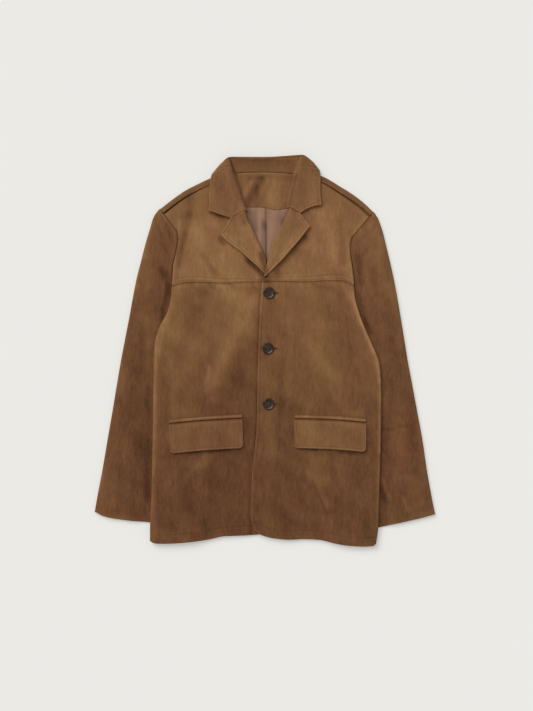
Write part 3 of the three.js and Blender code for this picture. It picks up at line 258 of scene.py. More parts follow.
SLEEVE_FOLDS = [
    (-236, 150, -262, -20, 14, -0.8), (-236, 30, -262, -70, 12, 0.9), (-300, -200, -316, -320, 12, 1.6),
    (-262, -150, -286, -330, 14, -1.2), (212, 200, 236, 90, 14, -0.8), (240, 60, 262, -80, 14, 1.2),
    (238, -161, 286, -150, 4, -0.8), (234, -262, 254, -300, 7, -1.6), (283, -290, 288, -322, 4, -1.2),
    (300, -180, 318, -300, 12, 1.2), (230, -250, 246, -292, 6, 1.2), (-232, 246, -246, 190, 8, 0.7),
    (-214, 262, -206, 214, 6, -0.8), (-200, 228, -214, 176, 6, -0.7), (210, 250, 222, 200, 7, -0.7),
    (196, 226, 204, 176, 5, -0.8), (-240, -60, -250, -250, 8, -0.6), (236, -60, 246, -230, 9, -0.5),
]
FACING_FOLDS = [
    (-22, 338, -46, 294, 7, 1.5), (7, 338, -13, 294, 6, 1.6), (30, 330, 32, 296, 10, 1.1),
    (50, 330, 44, 296, 6, 0.8),
]
LINING_FOLDS = [
    (-20, 278, -12, 190, 7, 0.8), (-36, 276, -24, 226, 6, 0.9), (22, 276, 16, 196, 8, 0.8),
    (40, 276, 30, 230, 6, 0.7),
]


def mix(a, b, t):
    return a + (b - a) * t


def smooth(start, end, value):
    t = np.clip((value - start) / (end - start), 0, 1)
    return t * t * (3 - 2 * t)


def smooth_down(start, end, value):
    return 1 - smooth(start, end, value)


def bell(away):
    return np.exp(-(away**2))


def stack(x, y, z):
    return np.stack(np.broadcast_arrays(x, y, z), axis=-1).astype(float)


def column(rows, key, name):
    """A curve through one column of a table against its key column, which doesn't overshoot a row."""
    order = np.argsort(rows[key])
    keys = rows[key][order]
    values = rows[name][order]
    secants = np.diff(values) / np.diff(keys)
    before = np.concatenate([secants[:1], secants])
    after = np.concatenate([secants, secants[-1:]])
    total = np.where(before + after == 0, 1, before + after)
    slopes = np.where(before * after > 0, 2 * before * after / total, 0)

    def at(value):
        v = np.clip(value, keys[0], keys[-1])
        k = np.clip(np.searchsorted(keys, v), 1, len(keys) - 1)
        span = keys[k] - keys[k - 1]
        t = (v - keys[k - 1]) / span
        rise = slopes[k - 1] * span * t * (1 - t) ** 2 - slopes[k] * span * t * t * (1 - t)
        return mix(values[k - 1], values[k], t * t * (3 - 2 * t)) + rise

    return at


def by_index(rows, name):
    values = rows[name]
    return column({"i": np.arange(len(values), dtype=float), "value": values}, "i", "value")


def chain(points, position):
    """A centripetal curve through the points (first axis), at positions counted in points."""
    points = np.asarray(points, float)
    ends = [2 * points[:1] - points[1:2], points, 2 * points[-1:] - points[-2:-1]]
    p = np.concatenate(ends)
    k = np.clip(np.floor(position).astype(int), 0, len(points) - 2)
    t = position - k
    gap = lambda a, b: np.maximum(np.linalg.norm(b - a, axis=-1, keepdims=True) ** 0.5, 1e-6)
    p0, p1, p2, p3 = p[k], p[k + 1], p[k + 2], p[k + 3]
    g0, g1, g2 = gap(p0, p1), gap(p1, p2), gap(p2, p3)
    m1 = ((p1 - p0) / g0 - (p2 - p0) / (g0 + g1) + (p2 - p1) / g1) * g1
    m2 = ((p2 - p1) / g1 - (p3 - p1) / (g1 + g2) + (p3 - p2) / g2) * g1
    t = t.reshape((-1,) + (1,) * (p1.ndim - 1))
    cubic = 2 * p1 - 2 * p2 + m1 + m2
    square = -3 * p1 + 3 * p2 - 2 * m1 - m2
    return p1 + m1 * t + square * t**2 + cubic * t**3


def run_along(path):
    return np.concatenate([[0], np.cumsum(np.linalg.norm(np.diff(path, axis=0), axis=1))])


def by_length(rows):
    """A smooth plan curve through a table's x and y, by its share of the length."""
    points = np.stack([rows["x"], rows["y"]], axis=-1)
    dense = chain(points, np.linspace(0, len(points) - 1, 1200))
    length = run_along(dense)

    def at(share):
        d = np.clip(share, 0, 1) * length[-1]
        return np.interp(d, length, dense[:, 0]), np.interp(d, length, dense[:, 1])

    return at


def relief(folds, x, y):
    """The sum of soft folds or strokes at each place."""
    total = np.zeros(np.broadcast(x, y).shape)
    for x0, y0, x1, y1, width, height in folds:
        dx = x1 - x0
        dy = y1 - y0
        along = np.clip(((x - x0) * dx + (y - y0) * dy) / (dx * dx + dy * dy), 0, 1)
        away = np.hypot(x - x0 - along * dx, y - y0 - along * dy) / width
        total = total + height * bell(away)
    return total


def ripple(x, y, scale, seed):
    """Smooth wandering between about -1 and 1, with bumps of the given scale."""
    source = np.random.default_rng(seed)
    total = 0
    for angle, stretch, phase in zip(
        source.uniform(0, 2 * np.pi, 9), source.uniform(0.7, 1.5, 9), source.uniform(0, 2 * np.pi, 9)
    ):
        wave = (x * np.cos(angle) + y * np.sin(angle)) * 2 * np.pi * stretch / (2 * scale)
        total = total + np.sin(wave + phase)
    return total / 3


ROUNDED = [0, 0.2, 0.5, 0.9, 1.5, 2.4]
BESIDE_STITCHES = (-1.3, -0.6, 0, 0.6, 1.3)


def places(length, step, start=(), end=()):
    """Shares of a length about a step apart.

    They are closer where an end's edge is rounded, and along the lines that are stitched at the given
    distances from it. An end given as None is neither.
    """
    count = max(2, round(length / step))
    shares = np.linspace(0, 1, count + 1)
    for at_start, lines in ((True, start), (False, end)):
        if lines is None:
            continue
        close = np.array(ROUNDED + [line + off for line in lines for off in BESIDE_STITCHES]) / length
        close = close if at_start else 1 - close
        near = np.abs(shares[:, None] - close[None, :]).min(axis=1) < 0.45 * step / length
        near &= (shares > 0) & (shares < 1)
        shares = np.unique(np.round(np.concatenate([shares[~near], close]), 9))
    return shares


# The outlines of each side, and the body's height over the floor
def make_side(name, sign):
    side = SimpleNamespace(name=name, sign=sign, edge=column(BODY_SIDE, "y", name))
    rows = SLEEVES[name]
    sewn = np.isnan(rows["inner_x"])
    rows["inner_x"] = np.where(sewn, side.edge(rows["inner_y"]) + SEWN, rows["inner_x"])
    side.seam = column(YOKE_SEAM, "x", name)
    side.hem = column(HEM, "x", name)
    side.shoulder = column(SHOULDER_FOLD, "x", name)
    side.tuck = column(rows, "inner_y", "inner_x")
    return side


SIDES = {"right": make_side("right", -1), "left": make_side("left", 1)}


def of_side(x, what):
    return np.where(x < 0, what(SIDES["right"]), what(SIDES["left"]))


def body_rise(x, y):
    """How far the sleeves that are tucked under the body lift it."""
    out = np.abs(x)
    tuck = of_side(x, lambda side: side.tuck(y))
    start, end = TUCK_SLOPE
    return BODY_RISE * smooth(tuck + start, tuck + end, out) * smooth_down(*TUCK_TOP, y)


def front_folds(x, y):
    edge = of_side(x, lambda side: side.edge(y))
    clear = smooth(2, 18, edge - np.abs(x))
    waves = 0.5 * ripple(x, y, 52, 3) + 0.14 * ripple(x, y, 19, 4)
    return np.clip((relief(FRONT_FOLDS + FRONT_CREASES, x, y) + waves) * clear, *FOLD_LIMITS)


placket_edge = column(PLACKET, "y", "edge")


def front_top(side, x, y, folds=True):
    """The height of the front's upper face, with its overlap, pressed edge and folds."""
    overlap = 0
    if side.sign > 0:
        overlap = (SUEDE + 2 * SEAM_GAP) * smooth_down(*OVERLAP_FADE, x - OVERLAP_EDGE)
    zone = LAPEL_ZONE
    lapel_edge = mix(zone.inner, zone.outer, smooth(zone.bottom, zone.top, y))
    outside = np.where(y < zone.bottom, 100, side.sign * x - lapel_edge)
    level = body_rise(x, y) + FRONT_TOP + overlap
    if folds and side.sign > 0:
        level = level + PLACKET_LIFT * smooth_down(0, 9, x - placket_edge(y)) * (y < YOKE_BOTTOM + 12)
    if folds and side.sign < 0:
        pressed = smooth(-6, -1, x - placket_edge(y)) * (y < YOKE_BOTTOM + 4)
        level = level - PLACKET_PRESS * pressed
    return level + front_folds(x, y) * smooth(*zone.fade, outside) if folds else level


def edge_round(y):
    """How round an edge is: 0 where two pieces meet level, 1 where the cloth turns right over."""
    return mix(LEVEL_EDGE, 1, smooth_down(150, 200, y))


TURN = np.radians([80, 68, 56, 44, 33, 22, 11, 0])[None, :]


def turned(x, y, z, sign, radius, thickness, rounding, way, angle=TURN):
    """An edge that turns down by its radius (up where way is -1), outwards along X by sign."""
    outer_x = x - sign * radius * (1 - np.cos(angle))
    fall = rounding * radius * (1 - np.sin(angle))
    inner_x = x - sign * (radius - (radius - thickness * rounding) * np.cos(angle))
    inner_fall = rounding * (radius - thickness) * (1 - np.sin(angle))
    return stack(outer_x, y, z - way * fall), stack(inner_x, y, z - way * (thickness + inner_fall))


def level_wall(x, y, z, thickness):
    return stack(x, y, z), stack(x, y, z - thickness)


def thickened(points, thickness, turn):
    """The inner face lies one thickness behind the outer one, along the surface's normal."""
    pad = np.pad(points, ((1, 1), (1, 1), (0, 0)), mode="edge")
    along = pad[2:, 1:-1] - pad[:-2, 1:-1]
    across = pad[1:-1, 2:] - pad[1:-1, :-2]
    normal = np.cross(along, across)
    normal /= np.linalg.norm(normal, axis=-1, keepdims=True)
    return points, points - normal * turn * thickness


def joined(*walls):
    return tuple(np.concatenate([wall[k] for wall in walls], axis=1) for k in (0, 1))


# Walls of cloth, each as a grid of points on its outer face and one on its inner face
def front_wall(side, out, y, rim_out, rim_y):
    """A wall on the body's front, which turns down along its outer rim."""
    x = side.sign * out
    cells = level_wall(x, y, front_top(side, x, y), SUEDE)
    x = side.sign * rim_out
    z = front_top(side, x, rim_y, folds=False)
    return joined(cells, turned(x, rim_y, z, side.sign, SIDE_RADIUS, SUEDE, edge_round(rim_y), 1))


def front_panel(name):
    side = SIDES[name]
    over = side.sign > 0
    inside = placket_edge if over else (lambda y: np.full_like(y, -float(OVERLAP_EDGE)))
    t = places(505, 3.2, end=(HEM_STITCH,))
    s = places(225, 3.0, start=(EDGE_STITCH,) if over else (), end=None)

    def row_at(end):
        y = mix(YOKE_BOTTOM, -380, t)
        for _ in range(3):
            y = mix(side.seam(end(y)), side.hem(end(y)), t)
        return end(y)[:, None]

    start = row_at(inside)
    finish = row_at(side.edge)
    out = mix(start, finish - SIDE_RADIUS, s[None, :])
    y_at = lambda across: mix(side.seam(across), side.hem(across), t[:, None])
    return front_wall(side, out, y_at(out), finish, y_at(finish))


def yoke(name):
    side = SIDES[name]
    inner = by_length(YOKE_INNER[name])
    rows = YOKE_INNER[name]
    arm_top = ARMHOLE_TOP[name]
    arm_x = side.edge(np.array(128.0)) - SIDE_RADIUS
    end_x = side.edge(np.array(float(arm_top))) - SIDE_RADIUS
    shoulder = lambda x: side.shoulder(x) - SHOULDER_WRAP - SEWN
    bottom_y = side.seam(arm_x + SIDE_RADIUS) + SEWN
    t = places(150, 2.6, start=YOKE_STITCHES)[:, None]
    s = places(150, 2.8, end=None)[None, :]
    inner_x, inner_y = inner(t)
    rim_y = mix(bottom_y, arm_top, t)
    rim_x = side.edge(rim_y)
    low_x = mix(rows["x"][0], arm_x, s)
    low_y = side.seam(low_x) + SEWN
    high_x = mix(rows["x"][-1], end_x, s)
    high_y = shoulder(high_x)
    corner_y = mix(mix(rows["y"][0], bottom_y, s), mix(rows["y"][-1], shoulder(end_x), s), t)
    out = mix(inner_x, rim_x - SIDE_RADIUS, s)
    y = mix(low_y, high_y, t) + mix(inner_y, rim_y, s) - corner_y
    return front_wall(side, out, y, rim_x, rim_y)


def back_panel():
    radius = SIDE_RADIUS + SEAM_GAP / 2
    right, left = SIDES["right"], SIDES["left"]
    top_of = lambda x: of_side(x, lambda side: side.shoulder(np.abs(x)))
    hem_of = lambda x: mix(right.hem(-x), left.hem(x), smooth(-30, 30, x)) + BACK.below_hem

    def armhole_end(side, depth):
        y = BACK.end
        for _ in range(8):
            y = (y + top_of(side.sign * side.edge(y)) - depth) / 2
        return float(side.edge(y))

    spread = np.linspace(0.05, 1, BACK.cells)
    turn = TURN[0][::2]

    def columns(right_edge, left_edge):
        """X, the turn's sign (0 inside) and its angle, for one row of the back."""
        inner_right = -spread[::-1] * (right_edge - SIDE_RADIUS)
        inner_left = spread * (left_edge - SIDE_RADIUS)
        ends = np.ones(len(turn))
        level = np.zeros(2 * len(spread) + 1)
        x = np.concatenate([-right_edge * ends, inner_right, [0], inner_left, left_edge * ends])
        sign = np.concatenate([-ends, level, ends])
        angle = np.concatenate([turn[::-1], level, turn])
        return x, sign, angle

    outer_rows = []
    inner_rows = []

    def add_row(edges, height, shares):
        x, sign, angle = columns(*edges)
        across = (x + edges[0]) / (edges[0] + edges[1])
        share = mix(shares[0], shares[1], across)
        y = mix(hem_of(x), top_of(x) - radius, share)
        z = body_rise(x, y)
        edge_outer, edge_inner = turned(x, y, z, sign, SIDE_RADIUS, BACK_CLOTH, edge_round(height), -1, angle)
        flat_outer, flat_inner = stack(x, y, z), stack(x, y, z + BACK_CLOTH)
        turning = (sign != 0)[:, None]
        outer_rows.append(np.where(turning, edge_outer, flat_outer))
        inner_rows.append(np.where(turning, edge_inner, flat_inner))

    share_at = lambda x, height: (height - hem_of(x)) / (top_of(x) - radius - hem_of(x))
    add_row((float(right.edge(BACK.bottom)), float(left.edge(BACK.bottom))), BACK.bottom, (0, 0))
    for height in np.arange(BACK.first, BACK.last, BACK.step):
        edges = (float(right.edge(height)), float(left.edge(height)))
        shares = (float(share_at(np.array(-edges[0]), height)), float(share_at(np.array(edges[1]), height)))
        add_row(edges, height, shares)
    ends = lambda depth: (armhole_end(right, depth), armhole_end(left, depth))
    add_row(ends(radius), BACK.end, (1, 1))

    def add_shoulder(share, angle, reach):
        x, sign, turn_angle = columns(*ends(radius - radius * np.cos(angle) + reach))
        x = x - sign * SIDE_RADIUS * (1 - np.cos(turn_angle))
        curl = smooth(*SHOULDER_CURL, np.abs(x))
        centre = top_of(x) - radius
        open_y = mix(centre, top_of(x), share)
        for r, flat, rows in ((radius, 0, outer_rows), (radius - BACK_CLOTH, BACK_CLOTH, inner_rows)):
            y = mix(open_y, centre + r * np.cos(angle) - reach, curl)
            rows.append(stack(x, y, mix(flat, radius + r * np.sin(angle), curl)))

    angles = np.radians([-65, -45, -22, 0, 22, 45, 68, 90])
    for k, angle in enumerate(angles):
        add_shoulder((k + 1) / 12, angle, 0)
    for k, part in enumerate((0.33, 0.66, 0.9, 1)):
        add_shoulder((k + 9) / 12, np.pi / 2, part * (SHOULDER_WRAP - radius))
    return np.array(outer_rows), np.array(inner_rows)


ARMHOLE_STATIONS = 7  # the sleeve's rows above this one are sewn to the body


def sleeve(name, layer):
    """The top or the under sleeve, half of a flattened tube between its two folds."""
    side = SIDES[name]
    rows = SLEEVES[name]
    upper = layer == "top"
    way = 1 if upper else -1
    last = len(rows["tuck"]) - 1
    drop = column(CUFF_SAG[name], "part", "drop")
    i = (places(640, 3.4 if upper else 8) * last)[:, None]
    s = np.linspace(0, 1, 41 if upper else 14)[None, :]
    at = {key: by_index(rows, key)(i) for key in rows}
    at["inner_x"] = np.where(i < ARMHOLE_STATIONS, side.edge(at["inner_y"]) + SEWN, at["inner_x"])
    hidden = smooth(0, 1, at["tuck"])
    inner_radius = mix(SIDE_RADIUS, TUCK_RADIUS, hidden)
    narrow = np.minimum(1, (at["outer_x"] - at["inner_x"]) / (4 * SIDE_RADIUS))
    outer_radius = SIDE_RADIUS * narrow
    cuff = smooth(last - 1.5, last, i)
    out = mix(at["inner_x"] + inner_radius * narrow, at["outer_x"] - outer_radius, s)
    y = mix(at["inner_y"], at["outer_y"], s) - cuff * drop(s)
    x = side.sign * out
    z = np.zeros_like(x)
    if upper:
        beyond = out - side.edge(y)
        clear = smooth(12, 42, beyond)
        level = mix(TUCK_HEIGHT, FRONT_TOP, np.maximum(clear, 1 - hidden))
        rim = smooth(0, 14, at["outer_x"] - out)
        waves = 0.4 * ripple(x, y, 38, 13) + 0.15 * ripple(x, y, 15, 14)
        folds = np.maximum(relief(SLEEVE_FOLDS, x, y), SLEEVE_DEEPEST) + waves
        z = level + folds * clear * np.minimum(1, narrow) * rim
    cells = stack(x, y, z), stack(x, y, z - way * SLEEVE_CLOTH)
    inner_z = mix(FRONT_TOP, TUCK_HEIGHT, hidden) if upper else 0 * hidden
    inner_x = side.sign * at["inner_x"]
    first = turned(
        inner_x, at["inner_y"], inner_z, -side.sign, inner_radius * narrow, SLEEVE_CLOTH,
        mix(LEVEL_EDGE, 1, hidden), way, TURN[:, ::-1],
    )
    outer_z = FRONT_TOP if upper else 0
    outer_x = side.sign * at["outer_x"]
    rounding = np.where(narrow < 1, LEVEL_EDGE, 1)
    second = turned(outer_x, at["outer_y"], outer_z, side.sign, outer_radius, SLEEVE_CLOTH, rounding, way)
    return joined(first, cells, second)


def armhole_allowance(side):
    """The seam allowance inside the armhole's upper half, between the front and the back."""
    tip = ALLOWANCE_TIP[side.name]
    height = np.linspace(ALLOWANCE.start, tip[1] - 7, 40)
    path_x = np.append(side.edge(height), tip[0])[:, None]
    path_y = np.append(height, tip[1])[:, None]
    slope_x = np.gradient(path_x[:, 0])[:, None]
    slope_y = np.gradient(path_y[:, 0])[:, None]
    length = np.hypot(slope_x, slope_y)
    across = np.linspace(-ALLOWANCE.width / 2, ALLOWANCE.width / 2, 9)[None, :]
    x = side.sign * (path_x + across * slope_y / length)
    return level_wall(x, path_y - across * slope_x / length, ALLOWANCE.top + 0 * x, ALLOWANCE.cloth)


# How far the lapels' edges and the collar's points stand off, sink at the notch and bend
LAPEL_LIFT = 3.6
COLLAR_LIFT = 3
GORGE_DIP = 0.5
LEAF_BEND = 3.6


def lapel(name):
    """A lapel that rolls over from the front's edge and lies on the yoke."""
    side = SIDES[name]
    rows = LAPELS[name]
    below = {key: values[: LAPEL_TIP + 1] for key, values in rows.items()}
    above = {key: values[LAPEL_TIP:] for key, values in rows.items()}
    last = len(rows["height"]) - 1
    lower = places(90, 1.6) * LAPEL_TIP
    upper = LAPEL_TIP + places(42, 1.6) * (last - LAPEL_TIP)
    i = np.unique(np.concatenate([lower, upper]))[:, None]
    at = {}
    for key in rows:
        to_tip = by_index(below, key)(i)
        at[key] = np.where(i < LAPEL_TIP, to_tip, by_index(above, key)(i - LAPEL_TIP))
    base = front_top(side, side.sign * (at["roll_x"] + 6), at["roll_y"])
    crest = base + at["height"]
    radius = (at["height"] + SUEDE) / 2
    centre = crest - radius
    length_x = at["edge_x"] - at["roll_x"]
    length_y = at["edge_y"] - at["roll_y"]
    length = np.hypot(length_x, length_y)
    along = lambda d: (at["roll_x"] + length_x * d / length, at["roll_y"] + length_y * d / length)
    angle = np.radians(np.linspace(-90, 90, 13))[None, :]
    thin = np.minimum(SUEDE, radius - 0.4)
    out_x, out_y = along(radius * (1 - np.cos(angle)))
    in_x, in_y = along(radius - (radius - thin) * np.cos(angle))
    roll_outer = stack(side.sign * out_x, out_y, centre + radius * np.sin(angle))
    roll_inner = stack(side.sign * in_x, in_y, centre + (radius - thin) * np.sin(angle))
    s = places(60, 1.5, start=None)[None, 1:]
    x, y = along(mix(radius, length, s))
    x = side.sign * x
    over = front_top(side, x, y) + SEAM_GAP
    lift = LAPEL_LIFT * smooth(0.5, 1, s) * smooth(0, 2, i) * smooth(-1.2, 1.0, last - i)
    lift = lift - GORGE_DIP * smooth(last - 0.3, last, i)
    z = np.maximum(mix(crest, over + LAPEL_CLOTH, smooth(0, 0.75, s)), over + LAPEL_CLOTH) + lift
    lying = level_wall(x, y, z, LAPEL_CLOTH)
    return joined((roll_outer, roll_inner), lying)


def strip(stations, part):
    """One part's points from the right leaf's front edge round the back neck to the left leaf's."""
    right, left = (stack(*(stations[name][part + axis] for axis in ("_x", "_y", "_z"))) for name in SIDES)
    right[:, 0] *= -1
    return np.concatenate([right, left[::-1]])


def along_strip(points, index):
    rows = {key: points[:, k] for k, key in enumerate("xyz")}
    return np.stack([by_index(rows, key)(index) for key in "xyz"], axis=-1)


def collar_fall():
    parts = [strip(FALL, part) for part in ("in", "top", "mid", "out")]
    last = len(parts[0]) - 1
    index = places(560, 2.4, start=(EDGE_STITCH,), end=(EDGE_STITCH,)) * last
    section = np.stack([along_strip(points, index) for points in parts])
    shares = np.unique(np.append(places(72, 1.7, start=None, end=(EDGE_STITCH,)), [2 / 3]))
    curved = chain(section, shares * 3)
    part = np.clip(np.floor(shares * 3).astype(int), 0, 2)
    straight = mix(section[part], section[part + 1], (shares * 3 - part)[:, None, None])
    from_end = np.minimum(index, last - index)
    leaf = smooth_down(0, 1.3, from_end)[None, :, None]
    grid = mix(curved, straight, leaf).transpose(1, 0, 2)
    lifted = smooth_down(0, 3.2, from_end)[:, None] * smooth(0.62, 0.85, shares)[None, :]
    grid[..., 2] += COLLAR_LIFT * lifted
    bend = np.sin(np.pi * np.clip(3 * shares - 2, 0, 1))[None, :] * smooth_down(0, 2.2, last - index)[:, None]
    grid[..., 1] += LEAF_BEND * bend
    return thickened(grid, FALL_CLOTH, 1)


def collar_stand():
    seam = strip(STAND, "seam")
    top = strip(STAND, "top")
    behind = smooth(372, 379, top[:, 1])
    top[:, 1] += 2.8 * behind
    top[:, 2] += 2.0 * behind
    index = places(460, 3.2) * (len(seam) - 1)
    share = np.linspace(0, 1, 13)[None, :, None]
    grid = mix(along_strip(seam, index)[:, None], along_strip(top, index)[:, None], share)
    grid[..., 2] -= 1.2 * np.sin(np.pi * share[..., 0])
    return thickened(grid, STAND_CLOTH, -1)


facing_edge = column(FACING_EDGE, "x", "y")
NECK_RIDGE = 1.7


def stand_foot(x):
    """The collar stand's sewn edge along the back neck."""
    names = ((-1, "right", slice(5, 9)), (1, "left", slice(7, 4, -1)))
    across = np.concatenate([sign * STAND[name]["seam_x"][part] for sign, name, part in names])
    return np.interp(x, across, np.concatenate([STAND[name]["seam_y"][part] for _, name, part in names]))


def neck_facing():
    rest = BACK_CLOTH + SEAM_GAP + FACING_CLOTH
    x = mix(-70, 70, places(140, 1.8))[None, :]
    t = places(66, 1.8)[:, None]
    y = mix(facing_edge(x), stand_foot(x) + 1.5, t)
    waves = np.maximum(0, relief(FACING_FOLDS, x, y) + 0.2 * ripple(x, y, 16, 21))
    ridge = NECK_RIDGE * smooth(338, 356, y)
    under = 2 * smooth(-0.9, 0.1, y - stand_foot(x))
    return level_wall(x, y, rest + waves * smooth_down(344, 354, y) + ridge - under, FACING_CLOTH)


def back_lining():
    rest = BACK_CLOTH + SEAM_GAP + LINING_CLOTH
    x = mix(-54, 54, places(108, 1.3))[None, :]
    t = places(150, 2.4)[:, None]
    y = mix(facing_edge(x) - SEAM_GAP, 134, t)
    pleat = PLEAT.height * smooth(PLEAT.start, PLEAT.crest, x) * smooth_down(PLEAT.fold, PLEAT.end, x)
    waves = relief(LINING_FOLDS, x, y) * smooth(2, 8, np.abs(x - 2.2))
    return level_wall(x, y, rest + pleat + waves, LINING_CLOTH)


def pocket_line(name):
    pocket = POCKETS[name]

    def at(s):
        y = mix(pocket.inner_y, pocket.outer_y, s) + pocket.middle_y * np.sin(np.pi * s)
        return mix(pocket.inner, pocket.outer, s), y

    return at


def pocket_flap(name):
    side = SIDES[name]
    pocket = POCKETS[name]
    width = pocket.outer - pocket.inner
    s = places(width, 1.7, start=(FLAP_STITCH,), end=(FLAP_STITCH,))[None, :]
    t = places(55, 1.7, end=(FLAP_STITCH,))[:, None]
    short = np.maximum(0, FLAP_CORNER - np.minimum(s, 1 - s) * width)
    cut = FLAP_CORNER - np.sqrt(FLAP_CORNER**2 - short**2)
    start_out, start_y = pocket_line(name)(s)
    depth = t * (pocket.depth - cut)
    out = start_out + pocket.tilt * depth / pocket.depth
    x = side.sign * out
    y = start_y - SEAM_GAP - depth
    puff = 0.7 * np.sin(np.pi * np.clip(t, 0, 1)) * smooth(0, 0.12, np.minimum(s, 1 - s))
    z = front_top(side, x, y) + FLAP_GAP + FLAP_LIFT * t * t + FLAP_CLOTH + puff
    return level_wall(x, y, z, FLAP_CLOTH)


def pocket_welt(name):
    side = SIDES[name]
    pocket = POCKETS[name]
    s = places(pocket.outer - pocket.inner, 1.7)[None, :]
    part = np.linspace(0, 1, 15)[:, None]
    profile = table("part up", (0, 0.45), (0.2, 0.9), (0.5, 1), (0.8, 0.85), (1, 0.4))
    start_out, start_y = pocket_line(name)(s)
    y = start_y + SEAM_GAP + pocket.welt_gap + part * WELT_WIDTH
    x = side.sign * start_out
    base = front_top(side, x, y) + FLAP_GAP
    return stack(x, y, base + column(profile, "part", "up")(part) * WELT_HEIGHT), stack(x, y, base)


# Meshes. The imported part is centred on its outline, so the shift comes from the top button's place.
low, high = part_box("top_button")
button_middle = (low + high) / 2 * 1000
SHIFT = np.array([button_middle.x - BUTTON_PLACES["top"][0], button_middle.y - BUTTON_PLACES["top"][1], 0])


def edge_distances(outer):
    """How far each point lies from the first row, the last row, the first column and the last column."""
    found = []
    for axis in (0, 1):
        steps = np.linalg.norm(np.diff(outer, axis=axis), axis=-1)
        start = np.zeros_like(steps.take([0], axis=axis))
        run = np.concatenate([start, np.cumsum(steps, axis=axis)], axis=axis)
        found += [run, run.take([-1], axis=axis) - run]
    return found


def edge_softened(outer, inner, radii):
    """Round the outer face over along its edges (numbered as in edge_distances), each by its own radius."""
    thickness = np.linalg.norm(inner - outer, axis=-1, keepdims=True)
    drop = np.zeros(outer.shape[:2])
    for distance, radius in zip(edge_distances(outer), radii):
        if radius:
            near = np.clip(1 - distance / radius, 0, 1)
            drop += radius * (1 - np.sqrt(1 - near**2))
    share = np.minimum(drop[..., None] / np.maximum(thickness, 1e-6), 0.45)
    return mix(outer, inner, share)


def inset(outer, edge, distance):
    """The line that lies a distance in from one edge of a grid (numbered as in edge_distances)."""
    lines = (outer.transpose(1, 0, 2), outer[::-1].transpose(1, 0, 2), outer, outer[:, ::-1])[edge]
    steps = np.linalg.norm(np.diff(lines, axis=1), axis=-1)
    run = np.concatenate([np.zeros((len(lines), 1)), np.cumsum(steps, axis=1)], axis=1)
    at = lambda k, line: [np.interp(distance, run[k], line[:, axis]) for axis in range(3)]
    return np.array([at(k, line) for k, line in enumerate(lines)])


def evenly(path, step):
    """Points a step apart along a path, and the directions there."""
    path = np.asarray(path, float)
    run = run_along(path)
    count = int(run[-1] // step)
    places_along = (np.arange(count) + 0.5) * step + (run[-1] - count * step) / 2
    at = lambda d: np.stack([np.interp(d, run, path[:, k]) for k in (0, 1)], axis=-1)
    return at(places_along), at(places_along + 0.4) - at(places_along - 0.4)


def sewn(outer, paths):
    """Pull the outer face in along its lines of stitches, and let it pucker beside them.
    Paint shade along each stitched groove and a faint highlight just beside it.
    """
    outer = outer.copy()
    tone = np.zeros(outer.shape[:2])
    for path in paths:
        points = evenly(path[:, :2], SEAM.step)[0]
        flat = outer[..., :2].reshape(-1, 2)
        box_low, box_high = points.min(axis=0) - SEAM.reach, points.max(axis=0) + SEAM.reach
        near = np.flatnonzero(((flat > box_low) & (flat < box_high)).all(axis=1))
        away = np.full(len(flat), 99.0)
        run = np.zeros(len(flat))
        for part in np.array_split(near, max(1, len(near) // 4000)):
            gaps = np.linalg.norm(flat[part][:, None] - points[None], axis=-1)
            away[part] = gaps.min(axis=1)
            run[part] = gaps.argmin(axis=1) * SEAM.step
        pucker = 0.13 * np.sin(2 * np.pi * run / 8.5) + 0.1 * np.sin(2 * np.pi * run / 21 + 1)
        pull = pucker * bell(away / SEAM.pucker) - SEAM.depth * bell(away / SEAM.width)
        outer[..., 2] += pull.reshape(outer.shape[:2])
        groove_shade_and_highlight = 0.07 * bell((away - 2.6) / 1.4) - 0.1 * bell(away / 1.2)
        tone += groove_shade_and_highlight.reshape(outer.shape[:2])
    return outer, tone


def shell_mesh(name, outer, inner):
    rows, columns = outer.shape[:2]
    count = rows * columns
    ids = np.arange(count).reshape(rows, columns)
    top = np.stack([ids[:-1, :-1], ids[1:, :-1], ids[1:, 1:], ids[:-1, 1:]], axis=-1).reshape(-1, 4)
    rim = np.concatenate([ids[0, :-1], ids[:-1, -1], ids[-1, :0:-1], ids[:0:-1, 0]])
    after = np.roll(rim, -1)
    sides = np.stack([rim, after, after + count, rim + count], axis=-1)
    faces = np.concatenate([top, top[:, ::-1] + count, sides])
    points = np.concatenate([outer.reshape(-1, 3), inner.reshape(-1, 3)])
    return solid_mesh(name, points, faces)


def solid_mesh(name, points, faces):
    """A mesh whose faces all look outwards."""
    a, b, c, d = (points[faces[:, k]] for k in range(4))
    volume = np.einsum("ij,ij->", a, np.cross(b, c)) + np.einsum("ij,ij->", a, np.cross(c, d))
    if volume < 0:
        faces = faces[:, ::-1]
    return new_mesh(name, (points + SHIFT) / 1000, faces.tolist())


def placed(name, data):
    item = bpy.data.objects.new(name, data)
    bpy.context.scene.collection.objects.link(item)
    return item


def new_mesh(name, points, faces):
    mesh = bpy.data.meshes.new(name)
    mesh.from_pydata(np.asarray(points).tolist(), [], faces)
    return mesh


def new_object(name, mesh, material):
    mesh.materials.append(material)
    return placed(name, mesh)


def points_of(mesh):
    points = np.empty(3 * len(mesh.vertices), np.float32)
    mesh.vertices.foreach_get("co", points)
    return points.reshape(-1, 3)


def finish_mesh(mesh, tone=None):
    """Smooth faces, and the painted tone (the suede's own tone with painted shade and highlights) at each
    point where it is given.
    """
    mesh.polygons.foreach_set("use_smooth", np.ones(len(mesh.polygons), bool))
    if tone is not None:
        mesh.attributes.new("nap_and_painted_light", "FLOAT", "POINT").data.foreach_set("value", np.array(tone, np.float32))
    mesh.update()


def on_frame(piece, node=None):
    """Hang a piece on the part's one body, in place of the solid of that name where there is one."""
    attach(piece, "root")
    if node:
        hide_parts(node)


def links(tree, *pairs):
    for source, target in pairs:
        tree.links.new(source, target)


def set_inputs(node, values):
    for name, value in values.items():
        node.inputs[name].default_value = value


